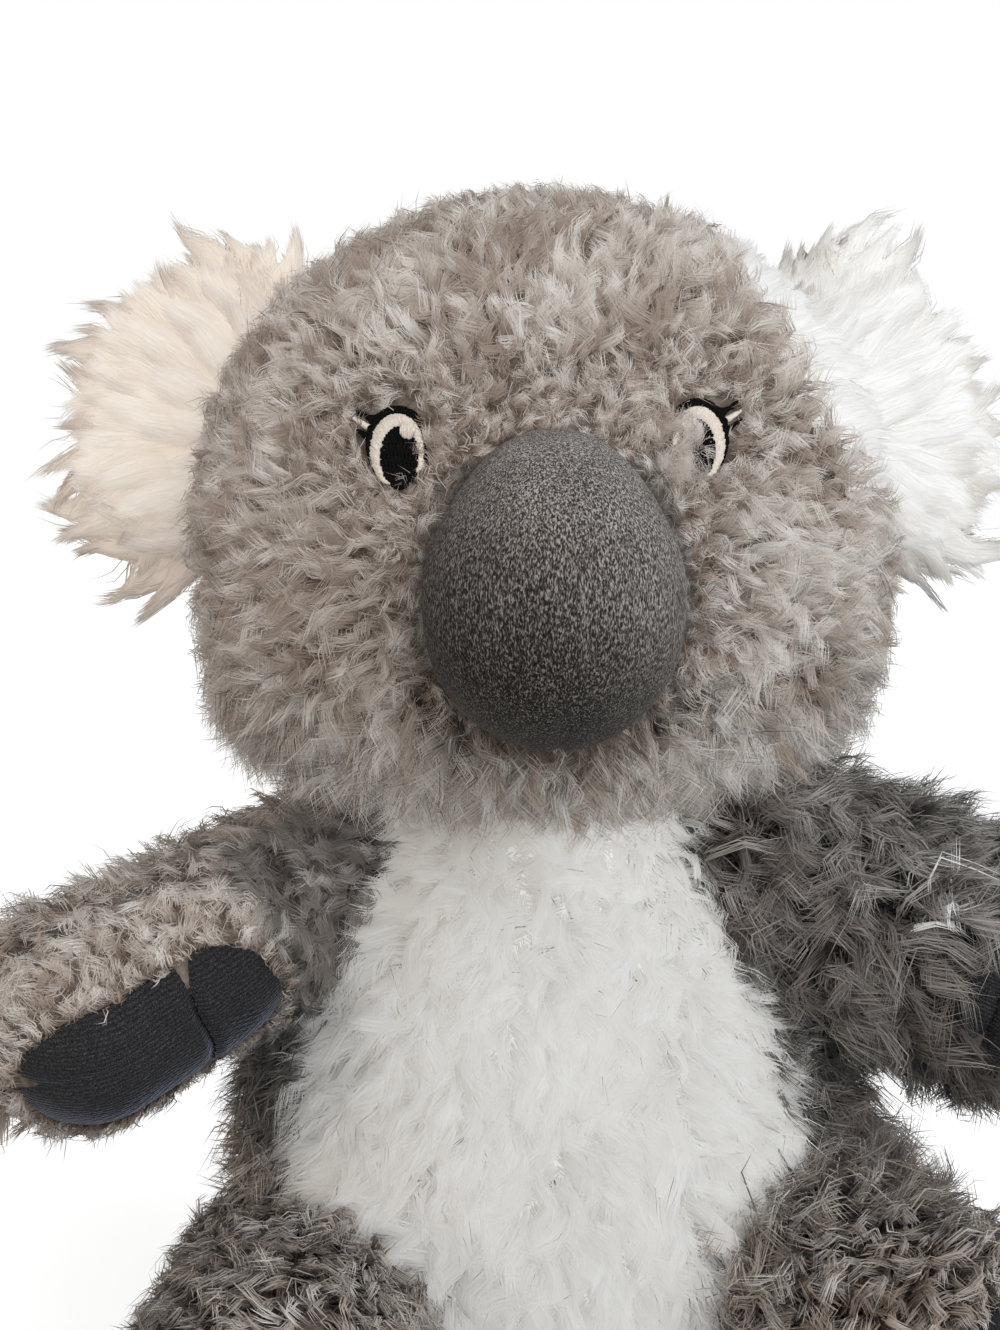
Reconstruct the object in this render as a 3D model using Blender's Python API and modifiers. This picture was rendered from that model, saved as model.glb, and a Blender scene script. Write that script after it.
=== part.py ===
"""Plush koala, seated, as an assembly of sewn panels, stuffing and embroidery.

Metres, +Z up. The koala faces -Y and its own left is +X. The origin is the middle
of the flat seat. Panels are drawn at the backing cloth plus the dense root of the
pile; the loose tips of the fur stand about 10 mm proud of them.
"""

import math

import bmesh
import bpy
from mathutils import Matrix, Vector

# ------------------------------------------------------------------ dimensions
GAP = 0.0003            # between two sewn or stacked pieces
CLOTH = 0.0030          # backing cloth and root pile
FILL_GAP = 0.0004       # between cloth and stuffing
MOVE_GAP = 0.0012       # between pieces that move past each other

HEAD_AT = Vector((0.0, -0.008, 0.2255))
HEAD_HALF = Vector((0.0670, 0.0580, 0.0590))
CHEEK = 0.055           # how much wider the head is at cheek height
JOWL = 0.20             # and lower down, where the cheeks hang full
MUZZLE = 0.0075         # how far the muzzle stands forward
HEAD_SEAM_Y = -0.008    # plane of the seam between face and back of head

NECK_AT = Vector((0.0, 0.0, 0.1690))
NECK_R = 0.0230
NECK_BASE_Z = 0.1585

NOSE_AT = Vector((0.0, -0.0665, 0.2100))
NOSE_HALF = Vector((0.0252, 0.0268, 0.0308))
NOSE_CLOTH = 0.0016

EYE_X, EYE_Z = 0.0293, 0.2370
EYE_HALF = (0.0059, 0.0074)
PUPIL_HALF = (0.0037, 0.0058)
GLINT_R = 0.0015
THREAD = 0.0005         # thickness of one layer of embroidery

EAR_PIVOT = Vector((0.0650, 0.0000, 0.2400))    # on the seam that the ear folds along
EAR_OUT = 0.0120        # from that seam to the middle of the ear
EAR_HALF = Vector((0.0250, 0.0078, 0.0365))
EAR_TURN = math.radians(10)
EAR_TILT = math.radians(20)     # the seam leans in towards the top of the head
EAR_CLOTH = 0.0022
EAR_GAP = 0.0022

# body: height, half width, half depth, middle of the depth
BODY = (
    (-0.010, 0.030, 0.026, 0.006),
    (0.000, 0.046, 0.041, 0.005),
    (0.012, 0.055, 0.050, 0.004),
    (0.030, 0.0600, 0.0550, 0.003),
    (0.055, 0.0620, 0.0570, 0.002),
    (0.080, 0.0615, 0.0550, 0.001),
    (0.100, 0.0580, 0.0505, 0.000),
    (0.120, 0.0520, 0.0445, -0.001),
    (0.140, 0.0445, 0.0385, -0.001),
    (0.158, 0.0330, 0.0300, 0.000),
    (0.166, 0.0180, 0.0160, 0.000),
)
SEAT_Z = 0.0160         # seam between the seat panel and the panels above
BELLY_OUTLINE = (       # half width of the white front panel against height
    (0.0100, 0.0470), (0.030, 0.0490), (0.060, 0.0500), (0.090, 0.0500),
    (0.115, 0.0440), (0.135, 0.0350), (0.160, 0.0270),
)

ARM_R0, ARM_R1, ARM_L = 0.0170, 0.0210, 0.0670
ARMS = {                # shoulder, direction, palm
    "right": (Vector((-0.0430, -0.0080, 0.1400)), Vector((-0.78, -0.53, -0.33)), Vector((0.36, -0.86, -0.36))),
    "left": (Vector((0.0460, -0.0070, 0.1430)), Vector((0.89, -0.26, -0.37)), Vector((0.05, -0.97, 0.02))),
}
PAD_T = {               # middles of the two round ends of each paw pad, along its arm
    "right": (0.0455, 0.0722), "left": (0.0550, 0.0715),
}
PAD_R = 0.0142

LEG_R0, LEG_L = 0.0310, 0.0500
FOOT_HALF = Vector((0.0280, 0.0340, 0.0240))   # across, up, along the leg
LEGS = {                # hip, direction
    "right": (Vector((-0.0460, -0.0200, 0.0410)), Vector((-0.16, -0.985, -0.06))),
    "left": (Vector((0.0460, -0.0180, 0.0410)), Vector((0.72, -0.69, -0.06))),
}
SOLE_T = LEG_L + 0.0120
HIP_SWING = (0, 25)  # lifts in degrees that the body leaves room for
ARM_SWING = (0, -20, 20)

COLOURS = {
    "grey_plush": ((0.30, 0.265, 0.24), 0.95),
    "white_plush": ((0.83, 0.82, 0.79), 0.95),
    "cream_plush": ((0.80, 0.72, 0.62), 0.95),
    "nose_velour": ((0.060, 0.054, 0.050), 0.85),
    "pad_knit": ((0.022, 0.022, 0.026), 0.80),
    "cream_thread": ((0.80, 0.68, 0.58), 0.55),
    "black_thread": ((0.012, 0.011, 0.011), 0.50),
    "stuffing": ((0.85, 0.85, 0.84), 0.98),
}


# --------------------------------------------------------------------- helpers
def collection(name):
    c = bpy.data.collections.new(name)
    bpy.context.scene.collection.children.link(c)
    return c


def material(name, colour, roughness):
    m = bpy.data.materials.new(name)
    m.use_nodes = True
    shader = m.node_tree.nodes["Principled BSDF"]
    shader.inputs["Base Color"].default_value = (*colour, 1.0)
    shader.inputs["Roughness"].default_value = roughness
    shader.inputs["Metallic"].default_value = 0.0
    m.diffuse_color = (*colour, 1.0)
    return m


def place(name, bm, frame, where, finish=None):
    """A named object from a bmesh held in the local space of frame."""
    bmesh.ops.recalc_face_normals(bm, faces=bm.faces)
    mesh = bpy.data.meshes.new(name)
    bm.to_mesh(mesh)
    bm.free()
    ob = bpy.data.objects.new(name, mesh)
    ob.matrix_world = frame
    where.objects.link(ob)
    if finish:
        colour, rough = COLOURS[finish]
        mesh.materials.append(material(name + "_" + finish, colour, rough))
    if where is CUTTERS:
        ob.hide_render = True
        ob.display_type = "WIRE"
    else:
        mesh.shade_smooth()
        mesh.set_sharp_from_angle(angle=math.radians(50))
    return ob


def sphere(shape, segments, rings):
    """A unit sphere with every point moved by the function shape."""
    bm = bmesh.new()
    bmesh.ops.create_uvsphere(bm, u_segments=segments, v_segments=rings, radius=1.0)
    for v in bm.verts:
        v.co = shape(v.co.copy())
    # the same diagonals at every size, so that a skin and its stuffing stay parallel
    bmesh.ops.triangulate(bm, faces=bm.faces[:], quad_method="FIXED")
    return bm


def slice_off(bm, point, normal, cap=False):
    """Remove what lies on the side that normal points to; cap closes the cut."""
    cut = bmesh.ops.bisect_plane(
        bm, geom=bm.verts[:] + bm.edges[:] + bm.faces[:], dist=1e-7,
        plane_co=point, plane_no=normal, clear_outer=True,
    )
    if cap:
        edges = [e for e in cut["geom_cut"] if isinstance(e, bmesh.types.BMEdge)]
        bmesh.ops.contextual_create(bm, geom=edges)
    return cut


def solidify(ob, thickness):
    m = ob.modifiers.new("cloth", "SOLIDIFY")
    m.thickness = thickness
    m.offset = -1.0
    m.use_even_offset = True
    return ob


def cut(ob, cutter, operation="DIFFERENCE"):
    m = ob.modifiers.new(operation.lower(), "BOOLEAN")
    m.operation = operation
    m.object = cutter
    m.solver = "EXACT"
    return ob


def smooth(x):
    x = min(1.0, max(0.0, x))
    return x * x * (3 - 2 * x)


def ramp(table, x, column):
    """A value read from a table of rows, with a smooth curve through its points."""
    rows = list(table)
    if x <= rows[0][0]:
        return rows[0][column]
    if x >= rows[-1][0]:
        return rows[-1][column]
    k = max(i for i in range(len(rows) - 1) if rows[i][0] <= x)
    a, b = rows[k], rows[k + 1]

    def slope(i):
        lo, hi = max(i - 1, 0), min(i + 1, len(rows) - 1)
        return (rows[hi][column] - rows[lo][column]) / (rows[hi][0] - rows[lo][0])

    h = b[0] - a[0]
    t = (x - a[0]) / h
    return (
        (2 * t**3 - 3 * t**2 + 1) * a[column] + (t**3 - 2 * t**2 + t) * h * slope(k)
        + (-2 * t**3 + 3 * t**2) * b[column] + (t**3 - t**2) * h * slope(k + 1)
    )


def frame_from(at, along, facing):
    """A frame at a point: local Z along the limb, local -Y towards facing."""
    z = along.normalized()
    y = -(facing - facing.dot(z) * z).normalized()
    x = y.cross(z)
    return Matrix.Translation(at) @ Matrix((x, y, z)).transposed().to_4x4()


def swung(at, along, degrees):
    """The movement that lifts a limb about its joint, whose axis lies level."""
    axis = along.cross(Vector((0, 0, 1))).normalized()
    return (
        Matrix.Translation(at) @ Matrix.Rotation(math.radians(degrees), 4, axis)
        @ Matrix.Translation(-at)
    )


# ---------------------------------------------------------------------- shapes
def head_shape(grow):
    """The head as a function of direction, grown outwards by grow."""
    def shape(n):
        half = HEAD_HALF + Vector((grow, grow, grow))
        wide = 1 + CHEEK * math.exp(-((n.z + 0.30) / 0.45) ** 2)
        wide += JOWL * math.exp(-((n.z + 0.70) / 0.30) ** 2)
        p = Vector((n.x * half.x * wide, n.y * half.y, n.z * half.z))
        muzzle = math.exp(-(n.x**2 / 0.20 + (n.z + 0.28) ** 2 / 0.16)) * smooth(-n.y)
        p.y -= MUZZLE * muzzle
        return HEAD_AT + p
    return shape


def body_shape(grow):
    low, high = BODY[0][0], BODY[-1][0]

    def shape(n):
        z = low + (high - low) * (0.5 + math.asin(max(-1, min(1, n.z))) / math.pi)
        flat = math.hypot(n.x, n.y)
        if flat < 1e-6:
            return Vector((0, ramp(BODY, z, 3), z + grow * n.z))
        hx = max(ramp(BODY, z, 1) + grow, 0.001)
        hy = max(ramp(BODY, z, 2) + grow, 0.001)
        return Vector((n.x / flat * hx, ramp(BODY, z, 3) + n.y / flat * hy, z + grow * n.z))
    return shape


def nose_shape(grow):
    def shape(n):
        wide = 1 + 0.05 * smooth(-n.z * 1.6) - 0.10 * smooth(n.z * 1.3)
        half = NOSE_HALF + Vector((grow, grow, grow))
        return NOSE_AT + Vector((n.x * half.x * wide, n.y * half.y, n.z * half.z))
    return shape


def ear_shape(grow):
    def shape(n):
        half = EAR_HALF + Vector((grow, grow, grow))
        return Vector((n.x * half.x, n.y * half.y, n.z * half.z))
    return shape


def arm_shape(grow, slim=0.0):
    """A round root at the joint and a round paw; slim takes a little off the root."""
    def shape(n):
        if n.z > 1e-4:
            return Vector((0, 0, ARM_L)) + n * (ARM_R1 + grow)
        return n * (ARM_R0 + grow - slim)
    return shape


def leg_shape(grow, slim=0.0):
    def shape(n):
        if n.z > 1e-4:
            half = FOOT_HALF + Vector((grow, grow, grow))
            return Vector((n.x * half.x, n.y * half.y, LEG_L + n.z * half.z))
        return n * (LEG_R0 + grow - slim)
    return shape


def rotated(bm, matrix):
    bmesh.ops.transform(bm, matrix=matrix, verts=bm.verts)
    return bm


# ----------------------------------------------------------------------- start
for old in list(bpy.data.objects):
    bpy.data.objects.remove(old)
KOALA = collection("plush_koala")
CUTTERS = collection("cutters")
WORLD = Matrix.Identity(4)
UP = Vector((0, 0, 1))

# ------------------------------------------------------------------------ head
neck_room = place(
    "neck_room", sphere(lambda n: n * (NECK_R + MOVE_GAP), 16, 12),
    Matrix.Translation(NECK_AT), CUTTERS,
)
HEAD_FRAME = Matrix.Translation(NECK_AT)
TO_NECK = HEAD_FRAME.inverted()


head_hollow = place("head_hollow", sphere(head_shape(-CLOTH), 20, 14), WORLD, CUTTERS)


def head_panel(name, side):
    bm = sphere(head_shape(0.0), 20, 14)
    slice_off(bm, Vector((0, HEAD_SEAM_Y + side * GAP / 2, 0)), Vector((0, -side, 0)), cap=True)
    ob = place(name, rotated(bm, TO_NECK), HEAD_FRAME, KOALA, "grey_plush")
    cut(ob, head_hollow)
    return cut(ob, neck_room)


face_panel = head_panel("face_panel", -1)
head_back_panel = head_panel("head_back_panel", 1)

bm = sphere(head_shape(-CLOTH - FILL_GAP), 20, 14)
head_stuffing = place("head_stuffing", rotated(bm, TO_NECK), HEAD_FRAME, KOALA, "stuffing")
cut(head_stuffing, neck_room)

bm = sphere(lambda n: n * NECK_R, 16, 12)
slice_off(bm, Vector((0, 0, NECK_BASE_Z - NECK_AT.z)), -UP, cap=True)
neck_stuffing = place("neck_stuffing", bm, HEAD_FRAME, KOALA, "stuffing")

# ------------------------------------------------------------------------ nose
head_room = place("head_room", sphere(head_shape(2 * GAP), 20, 14), WORLD, CUTTERS)
bm = sphere(nose_shape(0.0), 16, 10)
slice_off(bm, Vector((0, -0.0560, 0)), Vector((0, 1, 0)))
nose_cover = place("nose_cover", rotated(bm, TO_NECK), HEAD_FRAME, KOALA, "nose_velour")
solidify(nose_cover, NOSE_CLOTH)
cut(nose_cover, head_room)
bm = sphere(nose_shape(-NOSE_CLOTH - FILL_GAP), 16, 10)
slice_off(bm, Vector((0, -0.0560, 0)), Vector((0, 1, 0)), cap=True)
nose_stuffing = place("nose_stuffing", rotated(bm, TO_NECK), HEAD_FRAME, KOALA, "stuffing")
cut(nose_stuffing, head_room)

# ------------------------------------------------------------------------ eyes
# Each layer of thread is a flat outline in front of the face, laid on the cloth by
# a projection along Y and then given its thickness.
def ellipse(centre, half, count=20):
    return [
        (centre[0] + half[0] * math.cos(2 * math.pi * k / count),
         centre[1] + half[1] * math.sin(2 * math.pi * k / count))
        for k in range(count)
    ]


def lash_outline():
    """A band over the top of the eye that runs out into a pointed lash."""
    rx, rz = EYE_HALF[0] + 0.0004, EYE_HALF[1] + 0.0004
    turns = [math.radians(25 + 150 * k / 12) for k in range(13)]
    outer = [(1.06 + 0.14 * smooth(k / 9)) for k in range(13)]
    top = [(rx * o * math.cos(a), rz * o * math.sin(a)) for a, o in zip(turns, outer)]
    low = [(rx * math.cos(a), rz * math.sin(a)) for a in turns]
    lash = [(-rx * 1.55, rz * 0.62), (-rx * 1.75, rz * 0.86)]
    return top[:-2] + lash[::-1] + low[::-1]


def thread_patch(name, side, outline, level, finish):
    """side is +1 for the koala's left eye; outlines are drawn for its right one."""
    bm = bmesh.new()
    points = [(-side * u, w) for u, w in outline]
    ring = [
        bm.verts.new(TO_NECK @ Vector((side * EYE_X + u, -0.075, EYE_Z + w)))
        for u, w in points
    ]
    bm.faces.new(ring)
    if len(outline) == 20:
        bmesh.ops.poke(bm, faces=bm.faces[:])
    else:
        bmesh.ops.triangulate(bm, faces=bm.faces[:])
    for f in bm.faces:
        f.normal_update()
        if f.normal.y > 0:
            f.normal_flip()
    mesh = bpy.data.meshes.new(name)
    bm.to_mesh(mesh)
    bm.free()
    ob = bpy.data.objects.new(name, mesh)
    ob.matrix_world = HEAD_FRAME
    KOALA.objects.link(ob)
    mesh.materials.append(material(name + "_" + finish, *COLOURS[finish]))
    wrap = ob.modifiers.new("lay_on_face", "SHRINKWRAP")
    wrap.target = face_panel
    wrap.wrap_method = "PROJECT"
    wrap.use_project_x = wrap.use_project_z = False
    wrap.use_project_y = True
    wrap.use_negative_direction = False
    wrap.use_positive_direction = True
    wrap.wrap_mode = "ABOVE_SURFACE"
    wrap.offset = 0.0004 + THREAD + level * (THREAD + 0.00035)
    return solidify(ob, THREAD)


for side_name, side in (("right", -1), ("left", 1)):
    thread_patch(side_name + "_eye_ring", side, ellipse((0, 0), EYE_HALF), 0, "cream_thread")
    thread_patch(side_name + "_eye_pupil", side, ellipse((0.0005, -0.0014), PUPIL_HALF), 1, "black_thread")
    thread_patch(side_name + "_eye_glint", side, ellipse((0.0016, 0.0024), (GLINT_R, GLINT_R)), 2, "cream_thread")
    thread_patch(side_name + "_eye_lashes", side, lash_outline(), 0, "black_thread")

# ------------------------------------------------------------------------ ears
ear_head_room = place("ear_head_room", sphere(head_shape(EAR_GAP), 20, 14), WORLD, CUTTERS)
for side_name, side in (("right", -1), ("left", 1)):
    pivot = Vector((side * EAR_PIVOT.x, EAR_PIVOT.y, EAR_PIVOT.z))
    turn = Matrix.Rotation(-side * EAR_TILT, 4, "Y") @ Matrix.Rotation(side * EAR_TURN, 4, "Z")
    frame = Matrix.Translation(pivot) @ turn
    shift = Matrix.Translation(Vector((side * EAR_OUT, 0, 0)))
    hollow = place(
        side_name + "_ear_hollow", rotated(sphere(ear_shape(-EAR_CLOTH), 16, 10), shift), frame, CUTTERS,
    )
    for panel, front, finish in (("front", -1, "cream_plush"), ("back", 1, "grey_plush")):
        bm = sphere(ear_shape(0.0), 16, 10)
        slice_off(bm, Vector((0, front * GAP / 2, 0)), Vector((0, -front, 0)), cap=True)
        ob = place(f"{side_name}_ear_{panel}_panel", rotated(bm, shift), frame, KOALA, finish)
        cut(ob, hollow)
        cut(ob, ear_head_room)
    bm = sphere(ear_shape(-EAR_CLOTH - FILL_GAP), 16, 10)
    ob = place(f"{side_name}_ear_stuffing", rotated(bm, shift), frame, KOALA, "stuffing")
    cut(ob, ear_head_room)

# ------------------------------------------------------------------- limb room
limb_rooms = []
for side_name, (at, along, palm) in ARMS.items():
    for k, degrees in enumerate(ARM_SWING):
        limb_rooms.append(place(
            f"{side_name}_shoulder_room_{k}", sphere(arm_shape(MOVE_GAP, 0.0010 if k else 0.0), 14, 10),
            swung(at, along, degrees) @ frame_from(at, along, palm), CUTTERS,
        ))
for side_name, (at, along) in LEGS.items():
    for k, degrees in enumerate(HIP_SWING):
        limb_rooms.append(place(
            f"{side_name}_hip_room_{k}", sphere(leg_shape(MOVE_GAP, 0.0010 if k else 0.0), 16, 12),
            swung(at, along, degrees) @ frame_from(at, along, -UP), CUTTERS,
        ))

# ------------------------------------------------------------------------ body
outline = [(ramp(BELLY_OUTLINE, z, 1), z) for z in [0.010 + 0.0125 * k for k in range(13)]]


def belly_prism(name, grow):
    """The white panel's outline carried through the front of the body."""
    bm = bmesh.new()
    right = [(-x - grow, z) for x, z in outline]
    left = [(x + grow, z) for x, z in reversed(outline)]
    loop = right + left
    loop[0] = (loop[0][0], loop[0][1] - 0.02)
    loop[-1] = (loop[-1][0], loop[-1][1] - 0.02)
    loop[len(right) - 1] = (loop[len(right) - 1][0], 0.19)
    loop[len(right)] = (loop[len(right)][0], 0.19)
    face = bm.faces.new([bm.verts.new((x, -0.10, z)) for x, z in loop])
    sweep = bmesh.ops.extrude_face_region(bm, geom=[face])
    moved = [g for g in sweep["geom"] if isinstance(g, bmesh.types.BMVert)]
    bmesh.ops.translate(bm, verts=moved, vec=(0, 0.10, 0))
    return place(name, bm, WORLD, CUTTERS)


belly_in = belly_prism("belly_outline", 0.0)
belly_out = belly_prism("belly_outline_gap", GAP)


def body_surface(grow, low, high):
    bm = sphere(body_shape(grow), 22, 14)
    slice_off(bm, Vector((0, 0, high)), UP, cap=True)
    slice_off(bm, Vector((0, 0, low)), -UP, cap=True)
    return bm


bm = sphere(body_shape(-CLOTH), 22, 14)
slice_off(bm, Vector((0, 0, CLOTH)), -UP, cap=True)
body_hollow = place("body_hollow", bm, WORLD, CUTTERS)

for name, prism, operation, finish in (
    ("belly_panel", belly_in, "INTERSECT", "white_plush"),
    ("body_back_panel", belly_out, "DIFFERENCE", "grey_plush"),
):
    bm = body_surface(0.0, SEAT_Z + GAP, NECK_BASE_Z - 0.0006)
    ob = place(name, bm, WORLD, KOALA, finish)
    cut(ob, body_hollow)
    cut(ob, prism, operation)
    for room in limb_rooms:
        cut(ob, room)

seat_panel = place("seat_panel", body_surface(0.0, 0.0, SEAT_Z), WORLD, KOALA, "grey_plush")
cut(seat_panel, body_hollow)
for room in limb_rooms[2 * len(ARM_SWING):]:
    cut(seat_panel, room)

bm = body_surface(-CLOTH - FILL_GAP, CLOTH + FILL_GAP, NECK_BASE_Z - 0.0006)
body_stuffing = place("body_stuffing", bm, WORLD, KOALA, "stuffing")
for room in limb_rooms:
    cut(body_stuffing, room)

# ------------------------------------------------------------------------ arms
def pad_prism(name, frame, ends, grow):
    """A long round-ended outline carried out through the palm side."""
    bm = bmesh.new()
    r = PAD_R + grow
    low = [(r * math.cos(a), ends[0] + r * math.sin(a)) for a in
           [math.pi + math.pi * k / 8 for k in range(9)]]
    high = [(r * math.cos(a), ends[1] + r * math.sin(a)) for a in
            [math.pi * k / 8 for k in range(9)]]
    face = bm.faces.new([bm.verts.new((x, -0.045, z)) for x, z in low + high])
    sweep = bmesh.ops.extrude_face_region(bm, geom=[face])
    moved = [g for g in sweep["geom"] if isinstance(g, bmesh.types.BMVert)]
    bmesh.ops.translate(bm, verts=moved, vec=(0, 0.040, 0))
    return place(name, bm, frame, CUTTERS)


for side_name, (at, along, palm) in ARMS.items():
    frame = frame_from(at, along, palm)
    ends = PAD_T[side_name]
    pad_in = pad_prism(side_name + "_pad_outline", frame, ends, 0.0)
    pad_out = pad_prism(side_name + "_pad_outline_gap", frame, ends, GAP)
    hollow = place(side_name + "_arm_hollow", sphere(arm_shape(-CLOTH), 14, 10), frame, CUTTERS)
    for panel, front in (("inner", -1), ("outer", 1)):
        bm = sphere(arm_shape(0.0), 14, 10)
        slice_off(bm, Vector((0, front * GAP / 2, 0)), Vector((0, -front, 0)), cap=True)
        slice_off(bm, Vector((0, 0, -0.7 * ARM_R0)), -UP, cap=True)
        ob = place(f"{side_name}_arm_{panel}_panel", bm, frame, KOALA, "grey_plush")
        cut(ob, hollow)
        if panel == "inner":
            cut(ob, pad_out)
    bm = sphere(arm_shape(0.0006), 14, 10)
    slice_off(bm, Vector((0, -0.0005, 0)), UP.cross(Vector((1, 0, 0))))
    slice_off(bm, Vector((0, 0, 0.010)), -UP)
    pad = place(side_name + "_paw_pad", bm, frame, KOALA, "pad_knit")
    solidify(pad, CLOTH)
    cut(pad, pad_in, "INTERSECT")
    bm = sphere(arm_shape(-CLOTH - FILL_GAP), 14, 10)
    slice_off(bm, Vector((0, 0, -0.7 * ARM_R0)), -UP, cap=True)
    place(side_name + "_arm_stuffing", bm, frame, KOALA, "stuffing")

    # the stitching across the pad, a thread laid on its surface
    line = bpy.data.curves.new(side_name + "_paw_stitching", "CURVE")
    line.dimensions = "3D"
    line.bevel_depth = 0.00035
    line.bevel_resolution = 1
    line.use_fill_caps = True
    spline = line.splines.new("POLY")
    t = ends[1] - 0.012 if side_name == "left" else ends[0] + 0.004
    turns = [math.radians(-24 + 48 * k / 8) for k in range(9)]
    spline.points.add(len(turns) - 1)
    rise = 0.0006 + 0.0008
    radius = ARM_R0 + (ARM_R1 - ARM_R0) * (t / ARM_L) + rise
    for p, a in zip(spline.points, turns):
        p.co = (radius * math.sin(a), -radius * math.cos(a), t, 1.0)
    ob = bpy.data.objects.new(side_name + "_paw_stitching", line)
    ob.matrix_world = frame
    KOALA.objects.link(ob)
    line.materials.append(material(ob.name + "_thread", *COLOURS["black_thread"]))

# ------------------------------------------------------------------------ legs
for side_name, (at, along) in LEGS.items():
    frame = frame_from(at, along, -UP)
    hollow = place(side_name + "_leg_hollow", sphere(leg_shape(-CLOTH), 16, 10), frame, CUTTERS)
    bm = sphere(leg_shape(0.0), 16, 10)
    slice_off(bm, Vector((0, 0, -0.7 * LEG_R0)), -UP, cap=True)
    slice_off(bm, Vector((0, 0, SOLE_T - GAP / 2)), UP, cap=True)
    cut(place(side_name + "_leg_panel", bm, frame, KOALA, "grey_plush"), hollow)
    bm = sphere(leg_shape(0.0), 16, 10)
    slice_off(bm, Vector((0, 0, SOLE_T + GAP / 2)), -UP, cap=True)
    cut(place(side_name + "_foot_pad", bm, frame, KOALA, "pad_knit"), hollow)
    bm = sphere(leg_shape(-CLOTH - FILL_GAP), 16, 10)
    slice_off(bm, Vector((0, 0, -0.7 * LEG_R0)), -UP, cap=True)
    place(side_name + "_leg_stuffing", bm, frame, KOALA, "stuffing")

# --------------------------------------------------------------- closing seam
# The last seam to be sewn, by hand, down the middle of the back.
line = bpy.data.curves.new("back_closing_stitch", "CURVE")
line.dimensions = "3D"
line.bevel_depth = 0.0004
line.bevel_resolution = 1
line.use_fill_caps = True
spline = line.splines.new("POLY")
levels = [0.050 + 0.050 * k / 20 for k in range(21)]
spline.points.add(len(levels) - 1)
for k, (p, z) in enumerate(zip(spline.points, levels)):
    y = ramp(BODY, z, 3) + ramp(BODY, z, 2) + 0.0010
    p.co = (0.0012 * (-1) ** k, y, z, 1.0)
ob = bpy.data.objects.new("back_closing_stitch", line)
KOALA.objects.link(ob)
line.materials.append(material("closing_thread", *COLOURS["grey_plush"]))
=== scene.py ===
"""Looks of the seated plush koala: curly pile, velour nose, embroidered eyes, knit pads.

Metres, +Z up. The koala faces -Y, its own left is +X, and the origin is the middle of
its flat seat. Every skin is drawn on the same shapes as the model underneath.
"""

import math

import bmesh
import bpy
import numpy as np
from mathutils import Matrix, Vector
from mathutils.bvhtree import BVHTree
from mathutils.kdtree import KDTree


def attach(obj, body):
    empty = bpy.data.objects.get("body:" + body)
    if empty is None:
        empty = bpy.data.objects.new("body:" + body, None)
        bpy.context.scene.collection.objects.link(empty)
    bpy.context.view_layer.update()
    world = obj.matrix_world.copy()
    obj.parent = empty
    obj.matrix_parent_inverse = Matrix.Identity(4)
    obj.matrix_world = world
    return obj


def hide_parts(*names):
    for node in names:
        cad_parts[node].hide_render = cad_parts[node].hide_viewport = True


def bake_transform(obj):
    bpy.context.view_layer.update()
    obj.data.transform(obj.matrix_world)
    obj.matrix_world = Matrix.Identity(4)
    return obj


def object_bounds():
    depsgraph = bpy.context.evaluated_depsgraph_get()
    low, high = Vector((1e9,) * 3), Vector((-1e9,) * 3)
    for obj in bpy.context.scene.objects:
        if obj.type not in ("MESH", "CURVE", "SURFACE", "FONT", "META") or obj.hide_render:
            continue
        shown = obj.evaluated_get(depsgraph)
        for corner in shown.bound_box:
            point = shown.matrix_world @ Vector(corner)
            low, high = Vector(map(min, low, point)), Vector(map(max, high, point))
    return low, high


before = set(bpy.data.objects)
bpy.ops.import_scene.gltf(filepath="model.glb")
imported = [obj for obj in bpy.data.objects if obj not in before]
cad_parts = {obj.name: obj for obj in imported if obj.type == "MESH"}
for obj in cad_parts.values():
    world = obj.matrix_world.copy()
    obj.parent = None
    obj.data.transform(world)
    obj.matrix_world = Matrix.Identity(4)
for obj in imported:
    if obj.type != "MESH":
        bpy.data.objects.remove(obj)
cad_box = [list(corner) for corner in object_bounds()]

# ------------------------------------------------------------------ dimensions
HEAD_AT = np.array((0.0, -0.008, 0.2255))
HEAD_HALF = np.array((0.0670, 0.0580, 0.0590))
CHEEK, JOWL, MUZZLE, HEAD_SEAM_Y = 0.055, 0.20, 0.0075, -0.008
NECK_AT, NECK_R = np.array((0.0, 0.0, 0.1690)), 0.0230
NOSE_AT = np.array((0.0, -0.0665, 0.2100))
NOSE_HALF = np.array((0.0252, 0.0268, 0.0308))
EYE_AT = {"right": (0.0289, 0.2362), "left": (0.0282, 0.2376)}
EYE_HALF = (0.0054, 0.0070)
PUPIL_AT, PUPIL_HALF = (0.0006, -0.0014), (0.0037, 0.0060)
EAR_PIVOT = np.array((0.0650, 0.0, 0.2400))
EAR_TURN, EAR_TILT = math.radians(10), math.radians(20)
BODY = np.array((
    (-0.010, 0.030, 0.026, 0.006), (0.000, 0.046, 0.041, 0.005),
    (0.012, 0.055, 0.050, 0.004), (0.030, 0.0600, 0.0550, 0.003),
    (0.055, 0.0620, 0.0570, 0.002), (0.080, 0.0615, 0.0550, 0.001),
    (0.100, 0.0580, 0.0505, 0.000), (0.120, 0.0520, 0.0445, -0.001),
    (0.140, 0.0445, 0.0385, -0.001), (0.158, 0.0330, 0.0300, 0.000),
    (0.166, 0.0180, 0.0160, 0.000),
))
SEAT_Z = 0.0160
BELLY = np.array((
    (0.0100, 0.0470), (0.030, 0.0490), (0.060, 0.0500), (0.090, 0.0500),
    (0.115, 0.0440), (0.135, 0.0350), (0.160, 0.0270),
))
ARM_R0, ARM_R1, ARM_L = 0.0170, 0.0210, 0.0670
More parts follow.
